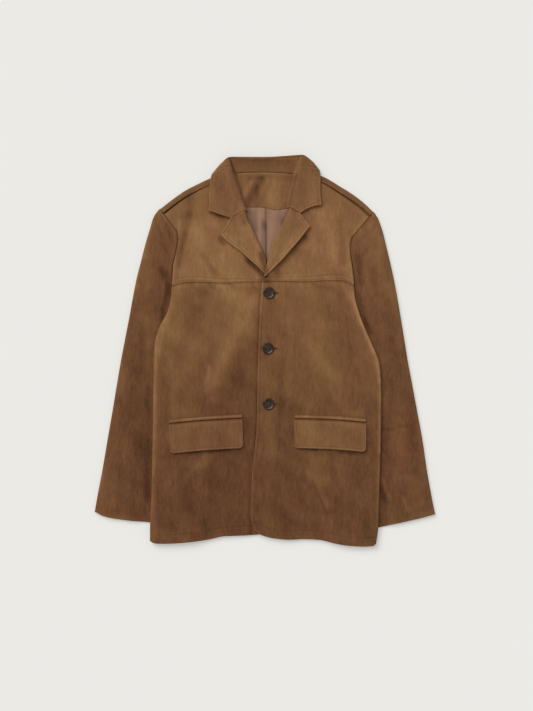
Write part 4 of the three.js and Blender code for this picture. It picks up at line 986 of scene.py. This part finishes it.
def noise(tree, coordinates, scale, detail=2.0, stretch=(1, 1, 1)):
    mapping = tree.nodes.new("ShaderNodeMapping")
    set_inputs(mapping, {"Scale": stretch})
    texture = tree.nodes.new("ShaderNodeTexNoise")
    set_inputs(texture, {"Scale": scale, "Detail": detail, "Roughness": 0.55})
    links(tree, (coordinates, mapping.inputs[0]), (mapping.outputs[0], texture.inputs["Vector"]))
    return texture.outputs["Fac"]


def maths(tree, operation, first, second):
    node = tree.nodes.new("ShaderNodeMath")
    node.operation = operation
    for socket, value in zip(node.inputs, (first, second)):
        if isinstance(value, (int, float)):
            socket.default_value = value
        else:
            links(tree, (value, socket))
    return node.outputs["Value"]


def add(tree, first, second):
    return maths(tree, "ADD", first, second)


def times(tree, value, amount):
    return maths(tree, "MULTIPLY", value, amount)


def mottle(tree, coordinates, amount, *form):
    """Noise of that amount about 0."""
    return times(tree, maths(tree, "SUBTRACT", noise(tree, coordinates, *form), 0.5), amount)


def nap_and_painted_light(tree):
    """The tone painted on each point of a piece, with its painted shade and painted highlights."""
    attribute = tree.nodes.new("ShaderNodeAttribute")
    attribute.attribute_name = "nap_and_painted_light"
    return attribute.outputs["Fac"]


def ramp(tree, value, stops):
    node = tree.nodes.new("ShaderNodeValToRGB")
    elements = node.color_ramp.elements
    while len(elements) < len(stops):
        elements.new(0.5)
    for element, (position, colour) in zip(elements, stops):
        element.position = position
        element.color = (*colour, 1)
    links(tree, (value, node.inputs["Fac"]))
    return node.outputs["Color"]


def bump(tree, shader, height, strength, distance):
    node = tree.nodes.new("ShaderNodeBump")
    set_inputs(node, {"Strength": strength, "Distance": distance})
    links(tree, (height, node.inputs["Height"]), (node.outputs["Normal"], shader.inputs["Normal"]))


def new_material(name, roughness, specular):
    material = bpy.data.materials.new(name)
    material.use_nodes = True
    tree = material.node_tree
    shader = tree.nodes["Principled BSDF"]
    set_inputs(shader, {"Roughness": roughness, "Specular IOR Level": specular})
    coordinates = tree.nodes.new("ShaderNodeTexCoord").outputs["Object"]
    return material, tree, shader, coordinates


def suede_material():
    """Brushed suede: the tone painted on each piece, with its painted shade and painted highlights,
    broken up by brush marks, mottles and grain.
    """
    material, tree, shader, at = new_material("suede", roughness=0.93, specular=0.12)
    tone = nap_and_painted_light(tree)
    for scale, amount, stretch in SUEDE_GRAIN:
        tone = add(tree, tone, mottle(tree, at, amount, scale, 3, stretch))
    turn = tree.nodes.new("ShaderNodeHueSaturation")
    patches = mottle(tree, at, 0.028, 9, 2, (1.4, 0.6, 1))
    links(tree, (ramp(tree, tone, SUEDE_RAMP), turn.inputs["Color"]))
    links(tree, (add(tree, patches, 0.497), turn.inputs["Hue"]))
    links(tree, (turn.outputs["Color"], shader.inputs["Base Color"]))
    fibres = add(tree, noise(tree, at, 1500, 2), times(tree, noise(tree, at, 300, 2), 1.5))
    bump(tree, shader, fibres, strength=0.35, distance=0.0005)
    set_inputs(shader, {"Sheen Weight": 0.15, "Sheen Roughness": 0.45, "Sheen Tint": (0.75, 0.52, 0.34, 1)})
    return material


def satin_material():
    material, tree, shader, at = new_material("satin", roughness=0.42, specular=0.45)
    tone = add(tree, nap_and_painted_light(tree), mottle(tree, at, 0.5, 40, 3, (1.6, 0.35, 1)))
    links(tree, (ramp(tree, tone, SATIN_RAMP), shader.inputs["Base Color"]))
    bump(tree, shader, noise(tree, at, 1100, 1, (3, 0.4, 1)), strength=0.2, distance=0.0003)
    set_inputs(shader, {"Sheen Weight": 0.15})
    return material


def horn_material():
    material, tree, shader, at = new_material("horn", roughness=0.3, specular=0.36)
    links(tree, (ramp(tree, noise(tree, at, 160, 4, (1, 3.2, 1)), HORN_RAMP), shader.inputs["Base Color"]))
    bump(tree, shader, noise(tree, at, 700, 2), strength=0.06, distance=0.0003)
    return material


def thread_material():
    material, tree, shader, at = new_material("thread", roughness=0.7, specular=0.3)
    tone = add(tree, nap_and_painted_light(tree), times(tree, noise(tree, at, 900, 2), 0.2))
    links(tree, (ramp(tree, tone, THREAD_RAMP), shader.inputs["Base Color"]))
    bump(tree, shader, noise(tree, at, 2600, 1, (1, 0.3, 1)), strength=0.3, distance=0.0002)
    return material


def floor_material(name, lit):
    material, _, shader, _ = new_material(name, roughness=0.9, specular=0.1)
    lit_colour = (*(lit * c for c in FLOOR_COLOUR), 1)
    glow = {"Emission Color": (*FLOOR_COLOUR, 1), "Emission Strength": 1 - lit}
    set_inputs(shader, {"Base Color": lit_colour, **glow})
    return material


# Looks: each ramp has colours by tone, and each row of grain a scale, an amount and a stretch
SUEDE_RAMP = (
    (0, (0.072, 0.029, 0.0112)), (0.25, (0.136, 0.0605, 0.0243)), (0.6, (0.22, 0.109, 0.0435)),
    (1, (0.35, 0.196, 0.083)),
)
SUEDE_GRAIN = (
    (13, 0.14, (1.2, 0.4, 1)), (42, 0.27, (1.5, 0.35, 1)), (130, 0.36, (1.6, 0.5, 1)), (520, 0.38, (1, 1, 1)),
)
SATIN_RAMP = (
    (0, (0.07, 0.034, 0.02)), (0.35, (0.155, 0.077, 0.041)), (0.6, (0.25, 0.127, 0.068)),
    (1, (0.38, 0.214, 0.124)),
)
HORN_RAMP = ((0.35, (0.008, 0.004, 0.0025)), (0.52, (0.02, 0.0095, 0.005)), (0.72, (0.1, 0.05, 0.024)))
THREAD_RAMP = ((0, (0.05, 0.024, 0.011)), (0.5, (0.17, 0.088, 0.038)), (1, (0.32, 0.19, 0.095)))
FLOOR_COLOUR = (0.83, 0.822, 0.79)
FLOOR_LIT = 0.6
suede = suede_material()
satin = satin_material()
horn = horn_material()
thread = thread_material()

pieces = {}
sewn_on = {}

# The painted tone, from dark (0) to light (1): a run down the body, lighter across the chest and darker
# towards the hem, then strokes in the form of the folds above. The strokes paint shade in the folds' troughs,
# in the creases and under the lapels, collar and pocket flaps, and highlights on crests and lit edges,
# besides patches of the suede's own tone
BODY_TONE = table(
    "y tone",
    (380, 0.5), (290, 0.58), (240, 0.66), (150, 0.66), (125, 0.54), (60, 0.47), (-20, 0.37), (-80, 0.3),
    (-130, 0.26), (-230, 0.22), (-300, 0.19), (-392, 0.19),
)
LINING_TONE = 0.56
SLEEVE_TONE = table("y tone", (290, 0.48), (230, 0.4), (140, 0.3), (0, 0.26), (-200, 0.23), (-360, 0.22))
FACING_STROKES = [
    (-6, 342, -36, 290, 9, -0.3), (-14, 328, -15, 290, 4, -0.14), (-30, 345, -4, 345, 3, -0.18),
    (-58, 355, 58, 355, 3.4, 0.12), (58, 340, 52, 290, 4.5, -0.24), (-61, 352, -56, 328, 5, -0.5),
    (20, 330, 24, 300, 12, 0.08), (-26, 336, -44, 300, 5, 0.1), (8, 336, 10, 300, 8, 0.1),
    (36, 330, 34, 296, 3, -0.1),
]
LAPEL_STROKES = [
    (-7, 192, 2, 158, 6, -0.5), (-46, 270, -40, 256, 7, -0.26), (-60, 262, -56, 236, 7, -0.1),
    (-20, 214, -8, 190, 5, 0.06), (30, 262, 36, 236, 12, -0.12), (20, 200, 12, 172, 5, 0.1),
]
COLLAR_STROKES = [
    (30, 372, 56, 356, 8, 0.12),
    (-62, 388, 64, 389, 3, 0.16), (-69, 384, -57, 356, 5, -0.34), (64, 350, 50, 290, 2.6, -0.22),
    (-96, 330, -88, 290, 22, -0.1), (-104, 340, -108, 296, 5, 0.06), (-70, 366, -52, 300, 5, -0.08),
    (78, 372, 66, 310, 8, -0.06), (100, 340, 96, 300, 12, 0.05),
]
# On the lining: painted shade along the centre pleat and beside the lapel, lighter strokes on the folds'
# crests, and a few darker spots
LINING_STROKES = [
    (3, 290, 3, 250, 1.2, -0.16), (3, 250, 4, 170, 1.6, -0.3), (-4, 262, -1, 170, 3.5, -0.16),
    (-1, 253, -1, 247, 5, -0.3), (34, 262, 36, 254, 6, -0.22), (-30, 284, -20, 244, 7, -0.22),
    (-12, 276, -10, 220, 4, 0.12), (14, 276, 10, 200, 6, 0.1), (-28, 262, -16, 230, 3, -0.1),
]
NAP_AND_PAINTED_LIGHT_STROKES = [
    (176, 112, 195, 56, 6, 0.26), (195, 56, 220, 2, 6, 0.34), (220, 2, 230, -44, 4.5, 0.24),
    (231, -50, 229, -320, 3, 0.14), (-206, 40, -214, -10, 6, 0.1), (-217, -20, -226, -340, 4, 0.14),
    (96, -366, 176, -376, 10, 0.1), (-215, -366, -180, -370, 12, 0.1), (132, 156, 150, 148, 10, -0.14),
    (-168, 300, -140, 314, 6, -0.1), (-172, -122, -189, -166, 12, 0.15), (-190, -224, -142, -230, 10, 0.12),
    (94, -246, 124, -308, 9, 0.17), (60, -188, 82, -212, 7, 0.12), (104, -218, 122, -222, 10, 0.1),
    (-23, -215, -27, -335, 3.6, 0.18), (26, -100, 36, -232, 12, -0.08), (-38, -140, -36, -216, 8, -0.12),
    (208, -155, 212, -184, 6, -0.15), (-108, 40, -62, 8, 14, 0.07), (118, 4, 128, -70, 12, 0.08),
    (2, 104, 0, 44, 8, -0.12), (150, 108, 176, 16, 20, -0.1), (-114, 126, -128, 78, 13, -0.09),
    (-186, 236, -172, 172, 7, -0.14), (60, 196, 112, 176, 16, -0.05), (-20, 110, -20, 60, 10, -0.05),
    (190, -146, 204, -150, 8, 0.1), (16, -8, 30, -10, 8, 0.1), (100, -134, 130, -136, 7, 0.1),
    (-36, 180, -3, 150, 4.5, -0.5), (4, 143, 24, 152, 10, -0.3), (26, 184, 80, 228, 5, -0.3),
    (-46, 266, -104, 300, 10, -0.08), (-96, 270, -84, 262, 6, -0.2), (96, 282, 112, 276, 9, 0.16),
    (-150, 230, -110, 178, 24, 0.08), (-122, 190, -96, 150, 6, -0.2), (-86, 190, -78, 152, 7, 0.12),
    (-150, 304, -147, 268, 8, -0.2), (-153, 272, -158, 236, 7, -0.22), (-160, 230, -173, 165, 6, -0.2),
    (-172, 262, -170, 214, 3, 0.16), (-176, 262, -168, 196, 16, -0.13), (-196, 262, -176, 222, 8, -0.2),
    (-118, 256, -96, 250, 10, 0.07), (-89, 223, -82, 213, 5, -0.35), (-108, 277, -84, 267, 4, -0.3),
    (-38, 190, -8, 160, 5, -0.35), (22, 158, 84, 226, 5, -0.3), (4, 148, 16, 104, 8, -0.2),
    (12, 96, 16, 60, 8, -0.14), (8, 24, 14, 16, 8, -0.12), (-130, 124, -112, 114, 9, -0.1),
    (-14, 122, -30, 118, 8, -0.1), (112, 262, 136, 200, 12, 0.1), (150, 262, 158, 176, 8, -0.18),
    (170, 234, 172, 212, 6, -0.18), (166, 258, 168, 200, 3, 0.1), (186, 262, 200, 240, 10, -0.1),
    (118, 131, 130, 126, 12, -0.12), (60, 138, 100, 134, 6, -0.06), (40, 240, 70, 190, 12, -0.06),
    (-216, 44, -221, -250, 5, 0.2), (-172, 128, -194, 62, 7, 0.16), (-200, 60, -208, 0, 6, 0.1),
    (158, 129, 182, 86, 6, 0.16), (186, 76, 210, 20, 6, 0.22), (213, 10, 231, -60, 5, 0.22),
    (231, -60, 231, -200, 4.5, 0.2), (230, -200, 226, -350, 4, 0.14), (-88, 118, -44, 92, 18, 0.14),
    (-22, 100, -104, -60, 17, 0.17), (-30, 10, -62, -76, 24, -0.13), (-150, 112, -140, 44, 20, -0.14),
    (-204, 78, -180, 24, 14, 0.12), (-120, -4, -118, -24, 12, 0.08), (-110, -34, -116, -80, 5, 0.18),
    (-158, -106, -154, -116, 9, -0.08), (-180, -70, -185, -180, 8, 0.1), (-128, 60, -150, -40, 18, 0.06),
    (-112, -212, -152, -250, 9, 0.12), (-98, -226, -60, -334, 20, -0.04), (-186, -244, -202, -286, 9, 0.08),
    (-220, -262, -221, -380, 6, 0.14), (-66, -206, -50, -203, 5, -0.1), (-72, -230, -76, -262, 8, -0.06),
    (-52, -280, -40, -300, 12, 0.08), (-34, -320, -28, -356, 10, 0.1), (-10, -200, -8, -232, 8, 0.08),
    (38, 30, 34, -130, 8, -0.1), (46, 92, 50, 66, 10, 0.1), (84, 64, 90, 46, 10, 0.08),
    (72, -26, 76, -50, 8, 0.08), (84, 22, 158, -82, 13, 0.15), (134, -84, 160, -112, 9, 0.12),
    (160, -122, 196, -130, 7, 0.12), (136, 34, 172, 6, 14, -0.06), (184, -24, 204, -60, 10, 0.06),
    (14, 104, 40, 76, 12, -0.08), (118, 122, 130, 70, 14, -0.08), (-4, -140, 20, -200, 14, 0.08),
    (30, -240, 40, -330, 12, 0.04), (78, -270, 92, -304, 9, 0.06), (62, -130, 66, -190, 5, 0.12),
    (96, -222, 122, -262, 9, 0.14), (82, -204, 92, -246, 3, -0.08), (95, -262, 126, -326, 2.5, -0.12),
    (146, -222, 156, -262, 8, 0.1), (176, -262, 184, -284, 9, 0.08), (214, -330, 222, -360, 7, 0.12),
    (70, -194, 102, -198, 3.5, -0.28), (150, -203, 186, -207, 3.5, -0.24), (-150, -205, -70, -199, 4, -0.16),
    (60, -330, 130, -352, 16, 0.05), (14, 101, 23, 107, 3, 0.2), (12, -10, 21, -4, 3, 0.2),
    (12, -121, 22, -115, 3, 0.18), (-156, 126, -140, 118, 5, 0.1), (-104, 102, -94, 96, 8, 0.08),
    (-113, 133, -102, 126, 3, -0.2), (-72, 134, -62, 127, 3, -0.18), (-26, 134, -19, 126, 3, -0.15),
    (96, 133, 110, 127, 3, -0.12), (-134, 130, -124, 124, 4, 0.12), (-92, 131, -80, 124, 4, 0.12),
]
# On the sleeves: painted shade beside the body and in the creases, painted highlights on the folds and outer
# edges, and patches of the suede's own tone
SLEEVE_STROKES = [
    (186, 112, 204, 54, 6, -0.16), (-322, -334, -262, -338, 8, 0.1), (298, -332, 338, -322, 8, 0.1),
    (-196, 246, -184, 218, 7, -0.2), (-212, 254, -198, 214, 5, -0.1), (188, 186, 192, 134, 7, -0.18),
    (238, -286, 240, -346, 9, -0.14), (-246, -160, -240, -322, 13, -0.08), (-236, 60, -232, 10, 9, 0.15),
    (-222, -20, -218, -84, 7, 0.1), (-255, 166, -258, 130, 5, 0.1), (222, 252, 234, 200, 7, 0.12),
    (306, -150, 322, -262, 6, 0.12), (-322, -240, -332, -330, 6, 0.12), (-226, 250, -240, 190, 8, 0.12),
    (-206, 236, -192, 180, 9, -0.12), (-204, 160, -188, 118, 8, -0.26), (-194, 128, -206, 60, 5, -0.24),
    (-253, 158, -261, 104, 6, 0.12), (-250, 122, -256, 52, 12, 0.08), (-238, 184, -236, 130, 13, 0.1),
    (-232, -76, -236, -300, 7, -0.14), (-300, -244, -302, -310, 7, 0.12), (-326, -230, -330, -284, 6, 0.12),
    (-312, -300, -314, -322, 8, 0.1), (-284, -20, -290, -84, 8, 0.12), (-280, -130, -282, -152, 10, -0.06),
    (-256, -180, -270, -330, 9, -0.07), (214, 212, 262, 90, 13, 0.1), (199, 190, 206, 120, 9, 0.12),
    (222, 122, 228, 96, 12, 0.1), (214, 250, 218, 232, 7, 0.14), (236, 44, 238, 20, 10, 0.1),
    (268, 24, 274, -20, 6, 0.1), (240, -161, 286, -150, 2.5, -0.14), (262, -138, 284, -142, 8, 0.1),
    (242, -166, 286, -156, 4, 0.06), (228, -262, 244, -304, 5, -0.14), (234, -256, 250, -294, 3.5, 0.14),
    (196, 68, 212, 36, 5, -0.2), (268, -200, 300, -300, 14, 0.05), (296, -318, 318, -306, 8, 0.1),
    (278, -294, 285, -320, 2.5, 0.2), (240, 60, 300, -100, 18, -0.03), (-208, 268, -196, 252, 3, -0.16),
    (-214, 258, -204, 238, 3, 0.1), (208, 262, 196, 244, 3, -0.16), (222, 250, 206, 226, 3, -0.14),
    (214, 236, 198, 216, 3, 0.1), (-206, 214, -196, 196, 3, -0.14), (210, 208, 196, 190, 3, -0.12),
]
# How much darker or lighter each piece's tone is; the armhole allowances are painted dark, the shade inside
# the armhole seam
PIECE_TONE = {
    "back_neck_facing": 0.0, "back_panel": -0.14, "collar_fall": -0.02, "collar_stand": 0.02,
    "right_pocket_flap": 0.16, "left_pocket_flap": 0.2, "right_pocket_welt": 0.2, "left_pocket_welt": 0.2,
    "right_lapel": 0.02, "left_lapel": 0, "right_under_sleeve": -0.05, "left_under_sleeve": -0.05,
    "right_armhole_allowance": -0.35, "left_armhole_allowance": -0.35,
}


STROKES = {
    "neck_facing": FACING_STROKES, "panel": NAP_AND_PAINTED_LIGHT_STROKES, "yoke": NAP_AND_PAINTED_LIGHT_STROKES, "sleeve": SLEEVE_STROKES,
    "lapel": LAPEL_STROKES, "fall": COLLAR_STROKES,
}


def nap_and_painted_light_at(name, x, y):
    if name == "back_lining":
        return LINING_TONE + relief(LINING_STROKES, x, y)
    tone = column(SLEEVE_TONE if "sleeve" in name else BODY_TONE, "y", "tone")(y)
    for word, strokes in STROKES.items():
        if word in name:
            tone = tone + relief(strokes, x, y)
    # Painted shade in the crevice under the left front's edge
    if name == "right_front_panel":
        tone = tone - 0.22 * bell((x - placket_edge(y)) / 2)
    return tone + PIECE_TONE.get(name, 0) + 0.04 * ripple(x, y, 30, 31)


# Painted shade and highlight at a piece's first row, last row, first column and last column: how much darker
# (shade in seams and under edges) or lighter (a highlight on edges that catch the light) the tone is there,
# with a fainter painted highlight about 5 mm in
EDGE_SHADE_AND_HIGHLIGHT = {
    "front_panel": (-0.24, 0.16, 0.2, 0.06), "yoke": (-0.26, -0.05, -0.1, -0.2),
    "sleeve": (-0.1, 0.16, -0.16, 0.12), "flap": (-0.2, 0.12, 0.12, 0.12), "welt": (-0.3, -0.3, -0.1, -0.1),
    "lapel": (0, 0, -0.05, 0.14), "fall": (0.14, 0.14, 0, 0.08), "neck_facing": (0, 0.16, 0, 0),
    "stand": (0.14, 0, 0, 0),
}


def edge_shade_and_highlight(name, outer):
    amounts = next((row for word, row in EDGE_SHADE_AND_HIGHLIGHT.items() if word in name), (0, 0, 0, 0))
    tone = np.zeros(outer.shape[:2])
    for amount, near in zip(amounts, edge_distances(outer)):
        tone += amount * bell(near / 1.7) + 0.3 * abs(amount) * bell((near - 5) / 2.6)
    return tone


def cloth(name, wall, softness=(1, 1, 1, 1), stitches=(), material=None, built=True):
    outer, inner = wall
    tone = edge_shade_and_highlight(name, outer)
    outer, stitched_shade = sewn(outer, stitches)
    tone = (tone + stitched_shade).ravel()
    outer = edge_softened(outer, inner, softness)
    mesh = shell_mesh(name + "_cloth", outer, inner)
    x, y = (points_of(mesh) * 1000 - SHIFT)[:, :2].T
    finish_mesh(mesh, nap_and_painted_light_at(name, x, y) + np.concatenate([tone, tone]))
    pieces[name] = new_object(name + "_cloth", mesh, material or suede)
    on_frame(pieces[name], name if built else None)
    if stitches:
        sew(name, stitches)


def tube_faces(rings, count, base=0):
    """The sides and the two ends of a tube of rings, with count points each."""
    faces = []
    top = base + count * (rings - 1)
    around = [(a, (a + 1) % count) for a in range(count)]
    for k in range(base, top, count):
        faces += [(k + a, k + b, k + count + b, k + count + a) for a, b in around]
    return faces + [tuple(range(base + count - 1, base - 1, -1)), tuple(range(top, top + count))]


# Sewing: each stitch is a short thread that dips into the cloth at both ends
def stitch_shape(length, width, height):
    half = ((-0.5, 0.3, -0.5), (-0.42, 0.8, -0.12), (-0.18, 1, 0.1))
    rings = half + tuple((-along, thick, up) for along, thick, up in reversed(half))
    points = [
        (along * length, math.cos(a) * thick * width / 2, (math.sin(a) * thick / 2 + up) * height)
        for along, thick, up in rings
        for a in np.arange(6) * np.pi / 3
    ]
    return np.array(points), tube_faces(len(rings), 6)


def threads(name, host, centres, directions, shape, tone=None):
    """Stitches on a host piece, at plan places and along plan directions."""
    mesh = pieces[host].data
    tree = BVHTree.FromPolygons([v.co[:] for v in mesh.vertices], [tuple(f.vertices) for f in mesh.polygons])
    template, template_faces = stitch_shape(*shape)
    points = []
    faces = []
    tones = []
    for (x, y), direction in zip(centres, directions):
        start = Vector(((x + SHIFT[0]) / 1000, (y + SHIFT[1]) / 1000, 0.06))
        place, normal = tree.ray_cast(start, Vector((0, 0, -1)))[:2]
        if place is None or normal.z < 0.3:
            continue
        up = np.array(normal)
        along = np.array((*direction, 0))
        along = along - up * along.dot(up)
        along /= np.linalg.norm(along)
        across = np.cross(up, along)
        base = len(points) * len(template)
        centre = np.array(place) * 1000 - SHIFT
        points.append(centre + template @ np.array([along, across, up]))
        faces += [tuple(base + k for k in face) for face in template_faces]
        own = nap_and_painted_light_at(host, np.array(x), np.array(y)) + 0.04 if tone is None else tone
        tones += [float(own)] * len(template)
    stitched = new_mesh(name, (np.concatenate(points) + SHIFT) / 1000, faces)
    finish_mesh(stitched, tones)
    piece = new_object(name, stitched, thread)
    on_frame(piece)
    return piece


def sew(host, paths):
    lines = [evenly(path[:, :2], STITCH.pitch) for path in paths]
    centres = np.concatenate([centre for centre, _ in lines])
    directions = np.concatenate([direction for _, direction in lines])
    shape = (STITCH.length, STITCH.width, STITCH.height)
    sewn_on[host] = [threads(host + "_stitching", host, centres, directions, shape)]


def front_stitches(wall, side):
    outer = wall[0][:, : -TURN.size]
    hem = inset(outer, 1, HEM_STITCH)
    if side.sign < 0:
        return [hem[hem[:, 0] < -18]]
    hem = hem[hem[:, 0] > placket_edge(-340.0) + EDGE_STITCH]
    placket = inset(outer, 2, EDGE_STITCH)
    return [hem, placket[placket[:, 1] > hem[0, 1] - 8]]


def yoke_stitches(wall, side):
    outer = wall[0][:, : -TURN.size]
    lines = [inset(outer, 0, distance) for distance in YOKE_STITCHES]
    return [line[side.sign * line[:, 0] > -2] for line in lines]


def lapel_stitches(wall):
    return [inset(wall[0], 3, 7)[6:-5]]


def flap_stitches(wall):
    outer = wall[0]
    top, bottom = 2, 1 - 2.6 * FLAP_STITCH / 55
    sides_path = [inset(outer, edge, FLAP_STITCH) for edge in (2, 3)]
    low = inset(outer, 1, FLAP_STITCH)
    keep = slice(3, -3)
    rows = int(bottom * len(outer))
    return [np.concatenate([sides_path[0][top:rows], low[keep], sides_path[1][top:rows][::-1]])]


def fall_stitches(wall):
    outer = wall[0]
    free = inset(outer, 3, EDGE_STITCH)
    leaves = [inset(outer, edge, EDGE_STITCH) for edge in (0, 1)]
    columns = outer.shape[1]
    start = int(0.66 * columns)
    keep = slice(start, columns - 5)
    ends = slice(6, -6)
    return [np.concatenate([leaves[0][keep], free[ends], leaves[1][keep][::-1]])]


cloth("back_panel", back_panel(), (1, 0.3, 1, 1))
cloth("back_neck_facing", neck_facing(), (1, 0.3, 1, 1))
cloth("back_lining", back_lining(), material=satin)
for side_name, side in SIDES.items():
    wall = front_panel(side_name)
    cloth(side_name + "_front_panel", wall, (2, 1.2, 1.4, 2), front_stitches(wall, side))
    wall = yoke(side_name)
    cloth(side_name + "_front_yoke", wall, (2, 0.4, 1, 1.6), yoke_stitches(wall, side))
    wall = lapel(side_name)
    cloth(side_name + "_lapel", wall, (1.4, 1.4, 0, 1.4), lapel_stitches(wall))
    cloth(side_name + "_top_sleeve", sleeve(side_name, "top"), (0.8, 1.2, 1.6, 1.6))
    cloth(side_name + "_under_sleeve", sleeve(side_name, "under"))
    wall = pocket_flap(side_name)
    cloth(side_name + "_pocket_flap", wall, (0.6, 1.3, 1.3, 1.3), flap_stitches(wall))
    cloth(side_name + "_pocket_welt", pocket_welt(side_name))
    cloth(side_name + "_armhole_allowance", armhole_allowance(side), (0.2, 0.2, 0.2, 0.2), built=False)
wall = collar_fall()
cloth("collar_fall", wall, (1.4, 1.4, 0, 1.4), fall_stitches(wall))
cloth("collar_stand", collar_stand(), (0.4, 1, 1, 0))


def button_mesh(name):
    """A turned disc with a raised rim, and four holes cut through it."""
    r = BUTTON.diameter / 2
    h = BUTTON.height
    profile = (
        (r - 2.6, 0), (r - 0.9, 0.18 * h), (r - 0.15, 0.42 * h), (r, 0.6 * h), (r - 0.12, 0.78 * h),
        (r - 0.5, 0.92 * h), (r - 1.1, h), (r - 1.8, 0.97 * h), (r - 2.5, 0.86 * h), (r - 3.2, 0.74 * h),
        (r - 4.2, 0.69 * h), (r - 6, 0.66 * h), (r - 9, 0.65 * h),
    )
    around = np.arange(BUTTON.sides) * 2 * np.pi / BUTTON.sides
    points = np.array([(rr * math.cos(a), rr * math.sin(a), z) for rr, z in profile for a in around]) / 1000
    disc = placed(name + "_disc", new_mesh(name, points, tube_faces(len(profile), BUTTON.sides)))
    drills = placed(name + "_drills", drill_mesh(name + "_drills"))
    cut = disc.modifiers.new("holes", "BOOLEAN")
    cut.object = drills
    cut.solver = "EXACT"
    bpy.context.view_layer.update()
    result = bpy.data.meshes.new_from_object(disc.evaluated_get(bpy.context.evaluated_depsgraph_get()))
    for part in (disc, drills):
        bpy.data.objects.remove(part)
    return result


def drill_mesh(name):
    points = []
    faces = []
    offset = BUTTON.spread / math.sqrt(2)
    radius = BUTTON.hole / 2
    ring = [(math.cos(a) * radius, math.sin(a) * radius) for a in np.arange(20) * np.pi / 10]
    for dx, dy in ((1, 1), (-1, 1), (-1, -1), (1, -1)):
        faces += tube_faces(2, len(ring), len(points))
        for z in (-0.002, 0.008):
            points += [((dx * offset + x) / 1000, (dy * offset + y) / 1000, z) for x, y in ring]
    return new_mesh(name, points, faces)


def button(place, x, y):
    node = place + "_button"
    low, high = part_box(node)
    mesh = button_mesh(node + "_horn")
    points = points_of(mesh)
    points += [(low.x + high.x) / 2, (low.y + high.y) / 2, low.z]
    mesh.vertices.foreach_set("co", points.ravel())
    finish_mesh(mesh)
    mesh.set_sharp_from_angle(angle=math.radians(50))
    mesh.materials.clear()
    pieces[node] = new_object(node + "_horn", mesh, horn)
    on_frame(pieces[node], node)
    # Thread crosses between the holes and fills them
    centres = []
    directions = []
    for direction in ((1, 1), (1, -1)):
        across = np.array((-direction[1], direction[0])) / math.sqrt(2)
        for side_step in (-0.45, 0, 0.45):
            centres.append(np.array((x, y)) + across * side_step)
            directions.append(direction)
    threads(node + "_thread", node, centres, directions, (2 * BUTTON.spread + 1.2, 0.6, 1.1), 0.1)


def buttonhole(place, x, y):
    """A worked slit that reaches from under the button to beyond its outer side."""
    start, end = x + BUTTONHOLE.start, x + BUTTONHOLE.end
    half = BUTTONHOLE.half
    run = np.arange(start, end, BUTTONHOLE.step)
    turn = np.radians(np.arange(-80, 81, 20))
    centres = [(px, y + half) for px in run] + [(px, y - half) for px in run]
    directions = [(0, 1)] * len(centres)
    centres += [(end + half * math.cos(a), y + half * math.sin(a)) for a in turn]
    directions += [(math.cos(a), math.sin(a)) for a in turn]
    host = "left_front_panel"
    sewn_on[host].append(threads(place + "_buttonhole", host, centres, directions, (2.3, 0.8, 0.8), 0.12))
    # The slit is a row of very dark thread, which paints the shade inside the open slit
    slit_shade = [(px, y) for px in np.arange(start, end + 0.5, BUTTONHOLE.slit_step)]
    along = [(1, 0)] * len(slit_shade)
    sewn_on[host].append(threads(place + "_buttonhole_slit_shade", host, slit_shade, along, (2.2, 1.5, 0.5), -0.6))


for place, (x, y) in BUTTON_PLACES.items():
    button(place, x, y)
    buttonhole(place, x, y)

# The floor, which gives off no light under the body, the surroundings, the sun and the camera
FLOOR = SimpleNamespace(half=60, drop=0.0004)
UNDER_BODY = SimpleNamespace(half=0.186, low=-0.35, high=0.24)
WORLD = SimpleNamespace(colour=(1, 0.995, 0.985, 1), strength=0.48)
SUN = SimpleNamespace(energy=2.3, spread=44, towards=(0.58, -0.78, -1.0))
CAMERA = SimpleNamespace(lens=70, sensor=36, x=0.004, y=-0.0105, height=2.773)


def rectangle(half, low, high):
    return [(-half, low, 0), (half, low, 0), (half, high, 0), (-half, high, 0)]


corners = rectangle(FLOOR.half, -FLOOR.half, FLOOR.half)
corners += rectangle(UNDER_BODY.half, UNDER_BODY.low, UNDER_BODY.high)
around = [(k, (k + 1) % 4, 4 + (k + 1) % 4, 4 + k) for k in range(4)]
floor_mesh = new_mesh("floor", corners, around + [(4, 5, 6, 7)])
floor = new_object("floor", floor_mesh, floor_material("floor", FLOOR_LIT))
floor_mesh.materials.append(floor_material("floor_under_body", 1))
floor_mesh.polygons[4].material_index = 1
floor.location.z = -FLOOR.drop

scene = bpy.context.scene
scene.world = bpy.data.worlds.new("studio")
scene.world.use_nodes = True
background = scene.world.node_tree.nodes["Background"]
set_inputs(background, {"Color": WORLD.colour, "Strength": WORLD.strength})

sun = bpy.data.lights.new("key", "SUN")
sun.energy = SUN.energy
sun.angle = math.radians(SUN.spread)
placed("key", sun).rotation_euler = Vector(SUN.towards).to_track_quat("-Z", "Y").to_euler()

camera = bpy.data.cameras.new("camera")
camera.lens = CAMERA.lens
camera.sensor_fit = "VERTICAL"
camera.sensor_height = CAMERA.sensor
scene.camera = placed("camera", camera)
scene.camera.location = (CAMERA.x, CAMERA.y + SHIFT[1] / 1000, CAMERA.height)
scene.view_settings.view_transform = "Standard"
